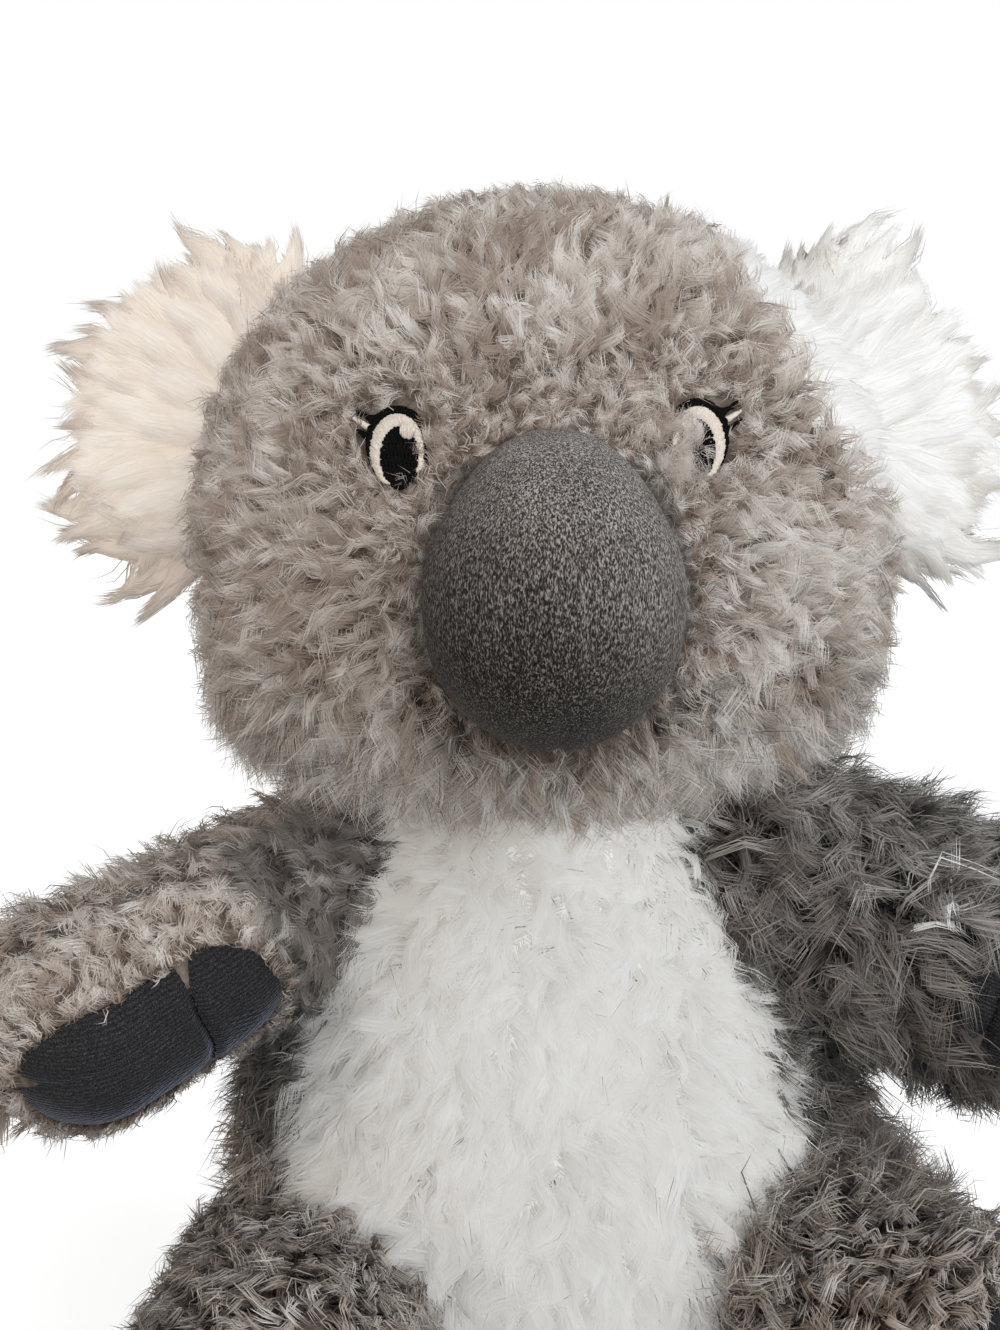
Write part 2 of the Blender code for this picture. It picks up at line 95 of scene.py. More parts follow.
ARMS = {
    "right": ((-0.0430, -0.0080, 0.1400), (-0.78, -0.53, -0.33), (0.36, -0.86, -0.36)),
    "left": ((0.0460, -0.0070, 0.1430), (0.89, -0.26, -0.37), (0.05, -0.97, 0.02)),
}
PAD_T, PAD_R = {"right": (0.0455, 0.0722), "left": (0.0550, 0.0715)}, 0.0142
LEG_R0, LEG_L = 0.0310, 0.0500
FOOT_HALF = np.array((0.0280, 0.0340, 0.0240))
LEGS = {
    "right": ((-0.0460, -0.0200, 0.0410), (-0.16, -0.985, -0.06)),
    "left": ((0.0460, -0.0180, 0.0410), (0.72, -0.69, -0.06)),
}
SOLE_T = LEG_L + 0.0120
SIDES = (("right", -1), ("left", 1))
COLUMNS = 64            # shades that one kind of pile is dyed in
FLOOR_GAP = 0.0006      # the lowest that a fibre lies

# ---------------------------------------------------------------------- camera
scene = bpy.context.scene
camera = bpy.data.objects.new("camera", bpy.data.cameras.new("camera"))
camera.data.sensor_fit = "AUTO"
camera.data.sensor_width = 24.0
camera.data.lens = 24.0 * 2077 / 1330
camera.data.clip_start = 0.01
camera.location = (-0.0095, -0.4600, 0.2510)
camera.rotation_euler = (math.radians(82), 0, 0)
scene.collection.objects.link(camera)
scene.camera = camera


# --------------------------------------------------------------------- numbers
def unit(a):
    return a / np.maximum(np.linalg.norm(a, axis=-1, keepdims=True), 1e-12)


def dot(a, b):
    return np.sum(a * b, axis=-1)


def smooth(x):
    x = np.clip(x, 0.0, 1.0)
    return x * x * (3 - 2 * x)


def table(rows, x, column):
    """A value read from a table of rows, with a smooth curve through its points."""
    z, y = rows[:, 0], rows[:, column]
    hi = np.minimum(np.arange(len(z)) + 1, len(z) - 1)
    lo = np.maximum(np.arange(len(z)) - 1, 0)
    slope = (y[hi] - y[lo]) / (z[hi] - z[lo])
    x = np.clip(x, z[0], z[-1])
    k = np.clip(np.searchsorted(z, x, side="right") - 1, 0, len(z) - 2)
    h = z[k + 1] - z[k]
    t = (x - z[k]) / h
    return (
        (2 * t**3 - 3 * t**2 + 1) * y[k] + (t**3 - 2 * t**2 + t) * h * slope[k]
        + (-2 * t**3 + 3 * t**2) * y[k + 1] + (t**3 - t**2) * h * slope[k + 1]
    )


def swell(p, scale, seed):
    """A smooth field between about -1 and 1 that changes over the given distance."""
    r = np.random.default_rng(seed)
    total = np.zeros(len(p))
    for _ in range(6):
        way = unit(r.normal(size=3)) * (0.6 + 0.8 * r.random()) / scale
        total += np.sin(2 * np.pi * (p @ way) + 2 * np.pi * r.random())
    return total / 2.4


def limb_frame(at, along, facing):
    """Columns are the limb's own axes: Z along it, -Y towards facing."""
    z = unit(np.array(along, float))
    facing = np.array(facing, float)
    y = -unit(facing - dot(facing, z) * z)
    return np.array(at, float), np.stack((np.cross(y, z), y, z), axis=1)


ARM_FRAMES = {k: limb_frame(*v) for k, v in ARMS.items()}
LEG_FRAMES = {k: limb_frame(*v, (0, 0, -1)) for k, v in LEGS.items()}


def to_world(fr, p):
    return fr[0] + p @ fr[1].T


def to_local(fr, p):
    return (p - fr[0]) @ fr[1]


# ---------------------------------------------------------------------- shapes
def head_wide(nz):
    return 1 + CHEEK * np.exp(-(((nz + 0.30) / 0.45) ** 2)) + JOWL * np.exp(-(((nz + 0.70) / 0.30) ** 2))


def jaw(nz):
    """How far the soft underside of the head sags."""
    return 0.0026 * smooth(-nz * 1.4)


def head_point(n, grow=0.0):
    half = HEAD_HALF + grow
    wide = head_wide(n[..., 2])
    p = n * half
    p[..., 0] *= wide
    p[..., 2] -= jaw(n[..., 2])
    muzzle = np.exp(-(n[..., 0] ** 2 / 0.20 + (n[..., 2] + 0.28) ** 2 / 0.16)) * smooth(-n[..., 1])
    p[..., 1] -= MUZZLE * muzzle
    return HEAD_AT + p


def body_half(z):
    return table(BODY, z, 1), table(BODY, z, 2), table(BODY, z, 3)


def in_body(p, grow):
    hx, hy, mid = body_half(p[:, 2])
    inside = (p[:, 0] / (hx + grow)) ** 2 + ((p[:, 1] - mid) / (hy + grow)) ** 2 < 1
    return inside & (p[:, 2] < 0.163)


def in_head(p, grow):
    q = (p - HEAD_AT) / (HEAD_HALF + grow)
    q[:, 0] /= head_wide(q[:, 2] / np.maximum(np.linalg.norm(q, axis=1), 1e-9))
    return np.linalg.norm(q, axis=1) < 1


def in_arm(side, p, grow):
    q = to_local(ARM_FRAMES[side], p)
    t = np.clip(q[:, 2] / ARM_L, 0, 1)
    q[:, 2] -= t * ARM_L
    return np.linalg.norm(q, axis=1) < ARM_R0 + (ARM_R1 - ARM_R0) * t + grow


def in_leg(side, p, grow):
    q = to_local(LEG_FRAMES[side], p)
    t = np.clip(q[:, 2] / LEG_L, 0, 1)
    q[:, 2] -= t * LEG_L
    half = LEG_R0 + (FOOT_HALF[None] - LEG_R0) * t[:, None] + grow
    return np.linalg.norm(q / half, axis=1) < 1


def in_limbs(p, grow):
    inside = np.zeros(len(p), bool)
    for side, _ in SIDES:
        inside |= in_arm(side, p, grow) | in_leg(side, p, grow)
    return inside


# ---------------------------------------------------------------------- meshes
def sheet_faces(points):
    """Quads over an array of rows of points."""
    rows, columns = points.shape[:2]
    k = np.arange(rows * columns).reshape(rows, columns)
    quads = np.stack((k[:-1, :-1], k[:-1, 1:], k[1:, 1:], k[1:, :-1]), -1).reshape(-1, 4)
    return points.reshape(-1, 3), quads


def make_object(name, mesh, finish=None):
    ob = bpy.data.objects.new(name, mesh)
    scene.collection.objects.link(ob)
    if finish:
        mesh.materials.append(finish)
    return ob


class Skin:
    """A cloth panel: its object, and the triangles that its pile grows from."""

    def __init__(self, name, sheets, finish, centre=None, thick=0.0012, drop=None):
        bm = bmesh.new()
        for points in sheets:
            co, quads = sheet_faces(points)
            vs = [bm.verts.new(p) for p in co]
            for q in quads:
                try:
                    bm.faces.new([vs[i] for i in q])
                except ValueError:
                    pass
        bmesh.ops.remove_doubles(bm, verts=bm.verts, dist=2e-6)
        if drop is not None:
            co = np.array([f.calc_center_median() for f in bm.faces])
            gone = [f for f, d in zip(bm.faces[:], drop(co)) if d]
            bmesh.ops.delete(bm, geom=gone, context="FACES")
        bmesh.ops.recalc_face_normals(bm, faces=bm.faces)
        if centre is not None:
            out = sum(f.normal.dot(f.calc_center_median() - Vector(centre)) for f in bm.faces)
            if out < 0:
                bmesh.ops.reverse_faces(bm, faces=bm.faces)
        bm.normal_update()
        mesh = bpy.data.meshes.new(name)
        bm.to_mesh(mesh)
        mesh.shade_smooth()
        self.v = np.array([v.co for v in bm.verts])
        self.n = np.array([v.normal for v in bm.verts])
        loops = bm.calc_loop_triangles()
        self.t = np.array([[c.vert.index for c in tri] for tri in loops])
        bm.free()
        self.ob = make_object(name, mesh, finish)
        if thick:
            m = self.ob.modifiers.new("cloth", "SOLIDIFY")
            m.thickness = thick
            m.offset = -1.0

    def scatter(self, count, rng):
        a, b, c = (self.v[self.t[:, k]] for k in range(3))
        area = np.linalg.norm(np.cross(b - a, c - a), axis=1)
        pick = rng.choice(len(self.t), count, p=area / area.sum())
        w = rng.random((count, 2))
        w[w.sum(1) > 1] = 1 - w[w.sum(1) > 1]
        w = np.concatenate((1 - w.sum(1, keepdims=True), w), 1)[:, :, None]
        tri = self.t[pick]
        return (self.v[tri] * w).sum(1), unit((self.n[tri] * w).sum(1))


# ------------------------------------------------------------------- materials
def new_material(name):
    m = bpy.data.materials.new(name)
    m.use_nodes = True
    return m, m.node_tree.nodes, m.node_tree.links, m.node_tree.nodes["Principled BSDF"]


def settings(shader, **values):
    for key, value in values.items():
        socket = shader.inputs[key.replace("_", " ")]
        socket.default_value = (*value, 1.0) if isinstance(value, tuple) else value


def ramp(nodes, links, source, stops, name=""):
    r = nodes.new("ShaderNodeValToRGB")
    r.color_ramp.interpolation = "EASE" if name == "ease" else "LINEAR"
    while len(r.color_ramp.elements) < len(stops):
        r.color_ramp.elements.new(0.5)
    for e, (at, colour) in zip(r.color_ramp.elements, stops):
        e.position = at
        e.color = (*colour, 1.0)
    links.new(source, r.inputs["Fac"])
    return r.outputs["Color"]


def maths(nodes, links, operation, a, b=None, clamp=False):
    m = nodes.new("ShaderNodeMath")
    m.operation = operation
    m.use_clamp = clamp
    for socket, value in zip(m.inputs, (a, b)):
        if value is None:
            continue
        if isinstance(value, (int, float)):
            socket.default_value = value
        else:
            links.new(value, socket)
    return m.outputs[0]


def blend_colour(nodes, links, kind, factor, a, b):
    m = nodes.new("ShaderNodeMix")
    m.data_type = "RGBA"
    m.blend_type = kind
    for socket, value in ((m.inputs[0], factor), (m.inputs[6], a), (m.inputs[7], b)):
        if isinstance(value, (int, float)):
            socket.default_value = value
        elif isinstance(value, tuple):
            socket.default_value = (*value, 1.0)
        else:
            links.new(value, socket)
    return m.outputs[2]


def pile_material(name, dull, frosted, spread=0.12, warm=(0.42, 0.30, 0.22), warmth=0.25, rough=0.8, sheen=0.10, tone=0.10):
    """Fibres: u picks the dye, from dull to frosted, and v runs from root to tip."""
    m, nodes, links, shader = new_material(name)
    uv = nodes.new("ShaderNodeUVMap")
    uv.uv_map = "OFBake"
    split = nodes.new("ShaderNodeSeparateXYZ")
    links.new(uv.outputs[0], split.inputs[0])
    u, v = split.outputs[0], split.outputs[1]

    def dice(steps):
        noise = nodes.new("ShaderNodeTexWhiteNoise")
        noise.noise_dimensions = "1D"
        links.new(maths(nodes, links, "FLOOR", maths(nodes, links, "MULTIPLY", u, steps)), noise.inputs["W"])
        return noise

    parts = nodes.new("ShaderNodeSeparateColor")
    links.new(dice(COLUMNS).outputs["Color"], parts.inputs[0])
    shift = maths(nodes, links, "MULTIPLY", maths(nodes, links, "SUBTRACT", parts.outputs[0], 0.5), spread)
    height = maths(nodes, links, "ADD", v, shift, clamp=True)
    low = ramp(nodes, links, height, dull)
    high = ramp(nodes, links, height, frosted)
    colour = blend_colour(nodes, links, "MIX", u, low, high)
    tint = maths(nodes, links, "MULTIPLY", maths(nodes, links, "POWER", parts.outputs[1], 2.0), warmth)
    colour = blend_colour(nodes, links, "MULTIPLY", tint, colour, tuple(2.2 * c for c in warm))
    dye = nodes.new("ShaderNodeHueSaturation")
    links.new(colour, dye.inputs["Color"])
    broad = maths(nodes, links, "ADD", maths(nodes, links, "MULTIPLY", parts.outputs[2], tone), 1.0 - tone / 2)
    links.new(broad, dye.inputs["Value"])
    links.new(dye.outputs["Color"], shader.inputs["Base Color"])
    settings(shader, Roughness=rough, Sheen_Weight=sheen, Sheen_Roughness=0.5)
    shader.inputs["Specular IOR Level"].default_value = 0.25
    return m


def cloth_material(name, dark, light, scale=420.0, bump=0.35):
    """The backing between the fibres: matted roots, mottled and knobbly."""
    m, nodes, links, shader = new_material(name)
    where = nodes.new("ShaderNodeTexCoord").outputs["Object"]
    noise = nodes.new("ShaderNodeTexNoise")
    noise.inputs["Scale"].default_value = scale
    noise.inputs["Detail"].default_value = 4.0
    links.new(where, noise.inputs["Vector"])
    links.new(ramp(nodes, links, noise.outputs["Fac"], ((0.35, dark), (0.68, light))), shader.inputs["Base Color"])
    b = nodes.new("ShaderNodeBump")
    b.inputs["Strength"].default_value = bump
    b.inputs["Distance"].default_value = 0.0006
    links.new(noise.outputs["Fac"], b.inputs["Height"])
    links.new(b.outputs["Normal"], shader.inputs["Normal"])
    settings(shader, Roughness=0.95, Sheen_Weight=0.1)
    shader.inputs["Specular IOR Level"].default_value = 0.1
    return m


# Dark at the root and pale at the tip: partly the fibres' own dye, partly painted shade deep in the pile, since most of
# the pile casts no shadow.
GREY_DULL = (
    (0.00, (0.060, 0.040, 0.028)), (0.28, (0.150, 0.108, 0.080)),
    (0.60, (0.330, 0.262, 0.212)), (1.00, (0.430, 0.360, 0.305)),
)
GREY_FROST = (
    (0.00, (0.120, 0.090, 0.070)), (0.28, (0.340, 0.290, 0.250)),
    (0.60, (0.700, 0.665, 0.625)), (1.00, (0.900, 0.890, 0.875)),
)
GREY_PILE = pile_material("grey_pile", GREY_DULL, GREY_FROST)
# a darker copy of the grey pile: painted shadow for the nose seam, the strip under the arms, the right arm's crook and
# the whole left arm
PAINTED_SHADOW_PILE = pile_material(
    "painted_shadow_pile",
    ((0.00, (0.030, 0.025, 0.021)), (0.28, (0.070, 0.060, 0.050)), (0.60, (0.150, 0.134, 0.118)), (1.00, (0.215, 0.196, 0.176))),
    ((0.00, (0.060, 0.052, 0.045)), (0.28, (0.180, 0.165, 0.148)), (0.60, (0.430, 0.410, 0.385)), (1.00, (0.620, 0.605, 0.580))),
)
WHITE_PILE = pile_material(
    "white_pile",
    ((0.00, (0.60, 0.585, 0.555)), (0.40, (0.69, 0.68, 0.655)), (1.00, (0.73, 0.72, 0.70))),
    ((0.00, (0.68, 0.675, 0.66)), (0.40, (0.76, 0.76, 0.75)), (1.00, (0.81, 0.81, 0.80))),
    warm=(0.45, 0.435, 0.40), warmth=0.25, sheen=0.2, tone=0.05,
)
# one ear pile in two copies: this cream one, on the koala's right ear, is warmer than the snow one below as painted
# warm light on that side
WARM_LIT_CREAM_PILE = pile_material(
    "warm_lit_cream_pile",
    ((0.00, (0.76, 0.68, 0.58)), (0.50, (0.79, 0.71, 0.63)), (0.76, (0.60, 0.51, 0.44)), (1.00, (0.40, 0.33, 0.28))),
    ((0.00, (0.86, 0.80, 0.72)), (0.50, (0.89, 0.84, 0.77)), (1.00, (0.89, 0.85, 0.80))),
    warm=(0.46, 0.43, 0.40), warmth=0.2, sheen=0.2, tone=0.05,
)
SNOW_PILE = pile_material(
    "snow_pile",
    ((0.00, (0.80, 0.78, 0.75)), (0.50, (0.82, 0.80, 0.77)), (0.78, (0.62, 0.58, 0.53)), (1.00, (0.44, 0.40, 0.36))),
    ((0.00, (0.90, 0.895, 0.88)), (0.50, (0.92, 0.92, 0.91)), (1.00, (0.92, 0.92, 0.915))),
    warm=(0.45, 0.44, 0.42), warmth=0.2, sheen=0.2, tone=0.05,
)
GREY_CLOTH = cloth_material("grey_cloth", (0.095, 0.074, 0.060), (0.24, 0.20, 0.17))
WHITE_CLOTH = cloth_material("white_cloth", (0.80, 0.79, 0.77), (0.90, 0.89, 0.87))
CREAM_CLOTH = cloth_material("cream_cloth", (0.84, 0.78, 0.70), (0.90, 0.86, 0.80))


def velour_material():
    m, nodes, links, shader = new_material("nose_velour")
    where = nodes.new("ShaderNodeTexCoord").outputs["Object"]
    grain = nodes.new("ShaderNodeMapping")
    grain.inputs["Scale"].default_value = (3300.0, 3300.0, 1100.0)
    grain.inputs["Rotation"].default_value = (0.0, math.radians(-6), 0.0)
    links.new(where, grain.inputs["Vector"])
    fine = nodes.new("ShaderNodeTexNoise")
    fine.inputs["Scale"].default_value = 1.0
    fine.inputs["Detail"].default_value = 2.0
    fine.inputs["Distortion"].default_value = 0.5
    links.new(grain.outputs[0], fine.inputs["Vector"])
    broad = nodes.new("ShaderNodeTexNoise")
    broad.inputs["Scale"].default_value = 70.0
    broad.inputs["Detail"].default_value = 2.0
    links.new(where, broad.inputs["Vector"])
    colour = ramp(nodes, links, fine.outputs["Fac"], (
        (0.38, (0.050, 0.044, 0.039)), (0.50, (0.220, 0.200, 0.184)), (0.63, (0.720, 0.690, 0.660)),
    ))
    # a darker copy of the grain, for the painted shade on the underside
    painted_shade_grain = ramp(nodes, links, fine.outputs["Fac"], (
        (0.42, (0.012, 0.010, 0.009)), (0.54, (0.080, 0.072, 0.064)), (0.66, (0.640, 0.610, 0.580)),
    ))
    shade = ramp(nodes, links, broad.outputs["Fac"], ((0.35, (0.76, 0.75, 0.74)), (0.70, (1.0, 1.0, 1.0))))
    # painted light and shade: the nose is lighter towards its top and the koala's left, and darker towards its
    # underside, where a darker copy of the grain takes over
    apart = nodes.new("ShaderNodeSeparateXYZ")
    links.new(where, apart.inputs[0])
    level = maths(nodes, links, "DIVIDE", maths(nodes, links, "SUBTRACT", apart.outputs[2], NOSE_AT[2] - NOSE_HALF[2]), 2 * NOSE_HALF[2], clamp=True)
    level = maths(nodes, links, "ADD", level, maths(nodes, links, "MULTIPLY", apart.outputs[0], 11.0), clamp=True)
    upper = ramp(nodes, links, level, ((0.15, (0.0, 0.0, 0.0)), (0.75, (1.0, 1.0, 1.0))))
    colour = blend_colour(nodes, links, "MIX", upper, painted_shade_grain, colour)
    colour = blend_colour(nodes, links, "MULTIPLY", 1.0, colour, shade)
    painted_top_light = ramp(nodes, links, level, ((0.00, (0.42, 0.41, 0.40)), (0.35, (0.56, 0.55, 0.54)), (0.70, (0.80, 0.79, 0.78)), (0.98, (1.0, 1.0, 1.0))))
    links.new(blend_colour(nodes, links, "MULTIPLY", 1.0, colour, painted_top_light), shader.inputs["Base Color"])
    b = nodes.new("ShaderNodeBump")
    b.inputs["Strength"].default_value = 1.0
    b.inputs["Distance"].default_value = 0.0005
    links.new(fine.outputs["Fac"], b.inputs["Height"])
    links.new(b.outputs["Normal"], shader.inputs["Normal"])
    settings(shader, Roughness=0.9, Sheen_Weight=0.14, Sheen_Roughness=0.30, Sheen_Tint=(0.90, 0.87, 0.83))
    shader.inputs["Specular IOR Level"].default_value = 0.15
    return m


def knit_material(name, across):
    """Dark ribbed knit. across is the way from one rib to the next."""
    m, nodes, links, shader = new_material(name)
    where = nodes.new("ShaderNodeTexCoord").outputs["Object"]
    fuzz = nodes.new("ShaderNodeTexNoise")
    fuzz.inputs["Scale"].default_value = 3400.0
    fuzz.inputs["Detail"].default_value = 3.0
    links.new(where, fuzz.inputs["Vector"])
    broad = nodes.new("ShaderNodeTexNoise")
    broad.inputs["Scale"].default_value = 130.0
    broad.inputs["Detail"].default_value = 3.0
    links.new(where, broad.inputs["Vector"])
    step = nodes.new("ShaderNodeVectorMath")
    step.operation = "DOT_PRODUCT"
    links.new(where, step.inputs[0])
    step.inputs[1].default_value = tuple(float(c) for c in across)
    wander = maths(nodes, links, "MULTIPLY", broad.outputs["Fac"], 0.0016)
    ribs = maths(nodes, links, "SINE", maths(nodes, links, "MULTIPLY", maths(nodes, links, "ADD", step.outputs["Value"], wander), 2 * math.pi / 0.00082))
    base = ramp(nodes, links, fuzz.outputs["Fac"], (
        (0.34, (0.014, 0.014, 0.015)), (0.52, (0.034, 0.033, 0.035)), (0.70, (0.095, 0.096, 0.102)),
    ))
    level = maths(nodes, links, "ADD", maths(nodes, links, "MULTIPLY", ribs, 0.5), 0.5)
    # the grooves between the ribs are drawn darker as painted shade, and the broad noise darkens patches at random
    groove_shade_and_mottle = maths(nodes, links, "MULTIPLY", level, broad.outputs["Fac"])
    groove = ramp(nodes, links, groove_shade_and_mottle, ((0.05, (0.55, 0.55, 0.56)), (0.50, (1.0, 1.0, 1.0))))
    links.new(blend_colour(nodes, links, "MULTIPLY", 1.0, base, groove), shader.inputs["Base Color"])
    b = nodes.new("ShaderNodeBump")
    b.inputs["Strength"].default_value = 0.6
    b.inputs["Distance"].default_value = 0.0003
    links.new(maths(nodes, links, "ADD", fuzz.outputs["Fac"], maths(nodes, links, "MULTIPLY", level, 0.6)), b.inputs["Height"])
    links.new(b.outputs["Normal"], shader.inputs["Normal"])
    settings(shader, Roughness=0.85, Sheen_Weight=0.45, Sheen_Roughness=0.28, Sheen_Tint=(0.62, 0.70, 0.90))
    shader.inputs["Specular IOR Level"].default_value = 0.15
    return m


def thread_material(name, dark, light, rough, shine=0.35, sheen=0.1):
    m, nodes, links, shader = new_material(name)
    where = nodes.new("ShaderNodeTexCoord").outputs["Object"]
    noise = nodes.new("ShaderNodeTexNoise")
    noise.inputs["Scale"].default_value = 1800.0
    noise.inputs["Detail"].default_value = 2.0
    links.new(where, noise.inputs["Vector"])
    links.new(ramp(nodes, links, noise.outputs["Fac"], ((0.3, dark), (0.7, light))), shader.inputs["Base Color"])
    settings(shader, Roughness=rough, Sheen_Weight=sheen)
    shader.inputs["Specular IOR Level"].default_value = shine
    return m


VELOUR = velour_material()
PAD_KNIT = {k: knit_material(k + "_pad_knit", fr[1][:, 0]) for k, fr in ARM_FRAMES.items()}
SOLE_KNIT = {k: knit_material(k + "_sole_knit", fr[1][:, 0]) for k, fr in LEG_FRAMES.items()}
CREAM_THREAD = thread_material("cream_thread", (0.76, 0.67, 0.58), (0.92, 0.85, 0.77), 0.6)
BLACK_THREAD = thread_material("black_thread", (0.002, 0.002, 0.002), (0.006, 0.006, 0.006), 0.8, 0.08, 0.0)
GREY_THREAD = thread_material("grey_thread", (0.09, 0.08, 0.07), (0.16, 0.14, 0.13), 0.7)
STUFFING = cloth_material("stuffing_fibre", (0.70, 0.70, 0.69), (0.88, 0.88, 0.87), 600.0, 0.6)


# ----------------------------------------------------------------------- skins
def finish_piece(ob, body, nodes=(), bend=None):
    if bend:
        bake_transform(ob)
    else:
        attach(ob, body)
    if nodes:
        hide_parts(*nodes)
    return ob


def around(a0, a1, count):
    return np.linspace(a0, a1, count)


# head: rings about the axis that runs from nose to back, so the seam is one ring
def head_sheet(a0, a1, rings, spokes, grow):
    a, b = np.meshgrid(around(a0, a1, rings), around(0, 2 * math.pi, spokes), indexing="ij")
    n = np.stack((np.sin(a) * np.cos(b), -np.cos(a), np.sin(a) * np.sin(b)), -1)
    return head_point(n, grow)


face = Skin("face_panel_cloth", [head_sheet(0, math.pi / 2, 44, 121, 0.0)], GREY_CLOTH, HEAD_AT)
finish_piece(face.ob, "head", ["face_panel"])
crown = Skin("head_back_cloth", [head_sheet(math.pi / 2, math.pi, 40, 121, 0.0)], GREY_CLOTH, HEAD_AT)
finish_piece(crown.ob, "head", ["head_back_panel"])

# neck
a, b = np.meshgrid(around(0.25, 0.66 * math.pi, 14), around(0, 2 * math.pi, 61), indexing="ij")
n = np.stack((np.sin(a) * np.cos(b), np.sin(a) * np.sin(b), np.cos(a)), -1)
neck = Skin("neck_cloth", [NECK_AT + n * NECK_R], GREY_CLOTH, NECK_AT)
finish_piece(neck.ob, "neck", ["neck_stuffing"])

# body
levels = np.linspace(SEAT_Z, 0.1600, 66)
hx, hy, mid = body_half(levels)
edge = np.arcsin(np.clip(table(BELLY, levels, 1) / hx, 0, 0.985))


def body_sheet(phi, z):
    """phi turns about the body from the middle of its front."""
    x, y, m = body_half(z)
    return np.stack((x * np.sin(phi), m - y * np.cos(phi), z), -1)


t, z = np.meshgrid(np.linspace(-1, 1, 64), levels)
belly = Skin(
    "belly_cloth", [body_sheet(t * edge[:, None], z)], WHITE_CLOTH, (0, 0, 0.08),
    drop=lambda p: in_limbs(p, -0.0020),
)
finish_piece(belly.ob, "torso", ["belly_panel"])
t, z = np.meshgrid(np.linspace(0, 1, 120), levels)
phi = edge[:, None] + t * (2 * math.pi - 2 * edge[:, None])
back = Skin(
    "body_back_cloth", [body_sheet(phi, z)], GREY_CLOTH, (0, 0, 0.08),
    drop=lambda p: in_limbs(p, -0.0020),
)
finish_piece(back.ob, "torso", ["body_back_panel"])
phi, z = np.meshgrid(np.linspace(0, 2 * math.pi, 161), np.linspace(0.0004, SEAT_Z, 9))
rim = body_sheet(phi, z)
flat = np.linspace(0, 1, 20)[:, None, None] * (rim[:1] - (0, 0.005, 0.0004)) + (0, 0.005, 0.0004)
flat[..., 2] = 0.0004
seat = Skin("seat_cloth", [rim, flat], GREY_CLOTH, (0, 0, 0.01), drop=lambda p: in_limbs(p, -0.0020))
finish_piece(seat.ob, "torso", ["seat_panel"])


# ears: each in its own frame at its fold, x out from the head
def ear_frame(side):
    c, s = math.cos(side * EAR_TURN), math.sin(side * EAR_TURN)
    k, m = math.cos(-side * EAR_TILT), math.sin(-side * EAR_TILT)
    about_z = np.array(((c, -s, 0), (s, c, 0), (0, 0, 1)))
    about_y = np.array(((k, 0, m), (0, 1, 0), (-m, 0, k)))
    return EAR_PIVOT * (side, 1, 1), about_y @ about_z


EAR_SMALL = {"right": np.array((0.0232, 0.0070, 0.0350)), "left": np.array((0.0190, 0.0070, 0.0350))}
EAR_IN = {"right": 0.0110, "left": 0.0075}


def near_angle(a, middle, width):
    """1 in the given direction in degrees, falling off to each side."""
    off = (np.degrees(a) - middle + 180) % 360 - 180
    return np.exp(-((off / width) ** 2))


def ear_sheet(name, side, front, grow, rings=22, spokes=73):
    a, b = np.meshgrid(around(0, math.pi / 2, rings), around(0, 2 * math.pi, spokes), indexing="ij")
    n = np.stack((np.sin(a) * np.cos(b), -front * np.cos(a), np.sin(a) * np.sin(b)), -1)
    p = n * (EAR_SMALL[name] + grow)
    # the upper outer edge is cut flatter than the rest
    flat = near_angle(np.arctan2(n[..., 2], side * n[..., 0]), 48, 30) * np.sin(a)
    p[..., 0] *= 1 - (0.26 if name == "right" else 0.06) * flat
    p[..., 2] *= 1 - (0.26 if name == "right" else 0.06) * flat
    # the front is dished towards its middle, as a sewn ear is
    dish = np.exp(-((n[..., 0] / 0.6) ** 2 + (n[..., 2] / 0.6) ** 2))
    p[..., 1] += (0.0022 if front > 0 else 0.0004) * dish
    p[..., 0] += side * EAR_IN[name]
    return to_world(ear_frame(side), p)


ears = {}
for name, side in SIDES:
    centre = to_world(ear_frame(side), np.array((side * EAR_IN[name], 0, 0)))
    for panel, front, cloth, slot in (
        ("front", 1, CREAM_CLOTH, "cream_plush"), ("back", -1, GREY_CLOTH, "grey_plush"),
    ):
        skin = Skin(
            f"{name}_ear_{panel}_cloth", [ear_sheet(name, side, front, 0.0)], cloth, centre, 0.0009,
            drop=lambda p: in_head(p, -0.0010),
        )
        finish_piece(skin.ob, name + "_ear", [f"{name}_ear_{panel}_panel"])
        ears[name, panel] = skin
    filling = Skin(
        name + "_ear_filling",
        [ear_sheet(name, side, 1, -0.0016, 14, 41), ear_sheet(name, side, -1, -0.0016, 14, 41)],
        STUFFING, centre, 0, drop=lambda p: in_head(p, 0.0015),
    )
    finish_piece(filling.ob, name + "_ear", [name + "_ear_stuffing"])


# limbs
def cap_rows(angles, radius, at, scale=1.0):
    return [(at + radius * scale * math.sin(q), radius * math.cos(q)) for q in angles]


def arm_rows():
    rows = cap_rows(np.radians(np.linspace(-35, -4, 5)), ARM_R0, 0)
    rows += [(ARM_L * k / 26, ARM_R0 + (ARM_R1 - ARM_R0) * k / 26) for k in range(27)]
    rows += cap_rows(np.radians(np.linspace(5, 90, 16)), ARM_R1, ARM_L)
    return np.array(rows)


def arm_sheet(fr, front, grow=0.0):
    rows = arm_rows()
    q = np.linspace(0, math.pi, 37)
    z, r = rows[:, 0][:, None] + 0 * q, (rows[:, 1] + grow * (rows[:, 1] > 1e-6))[:, None] + 0 * q
    return to_world(fr, np.stack((r * np.cos(q), -front * r * np.sin(q), z), -1))


def pad_height(x, z):
    """How far the arm's surface stands from its middle plane."""
    r = ARM_R0 + (ARM_R1 - ARM_R0) * np.clip(z / ARM_L, 0, 1)
    over = np.maximum(z - ARM_L, 0)
    return np.sqrt(np.maximum(r * r - x * x - over * over, 1e-9))


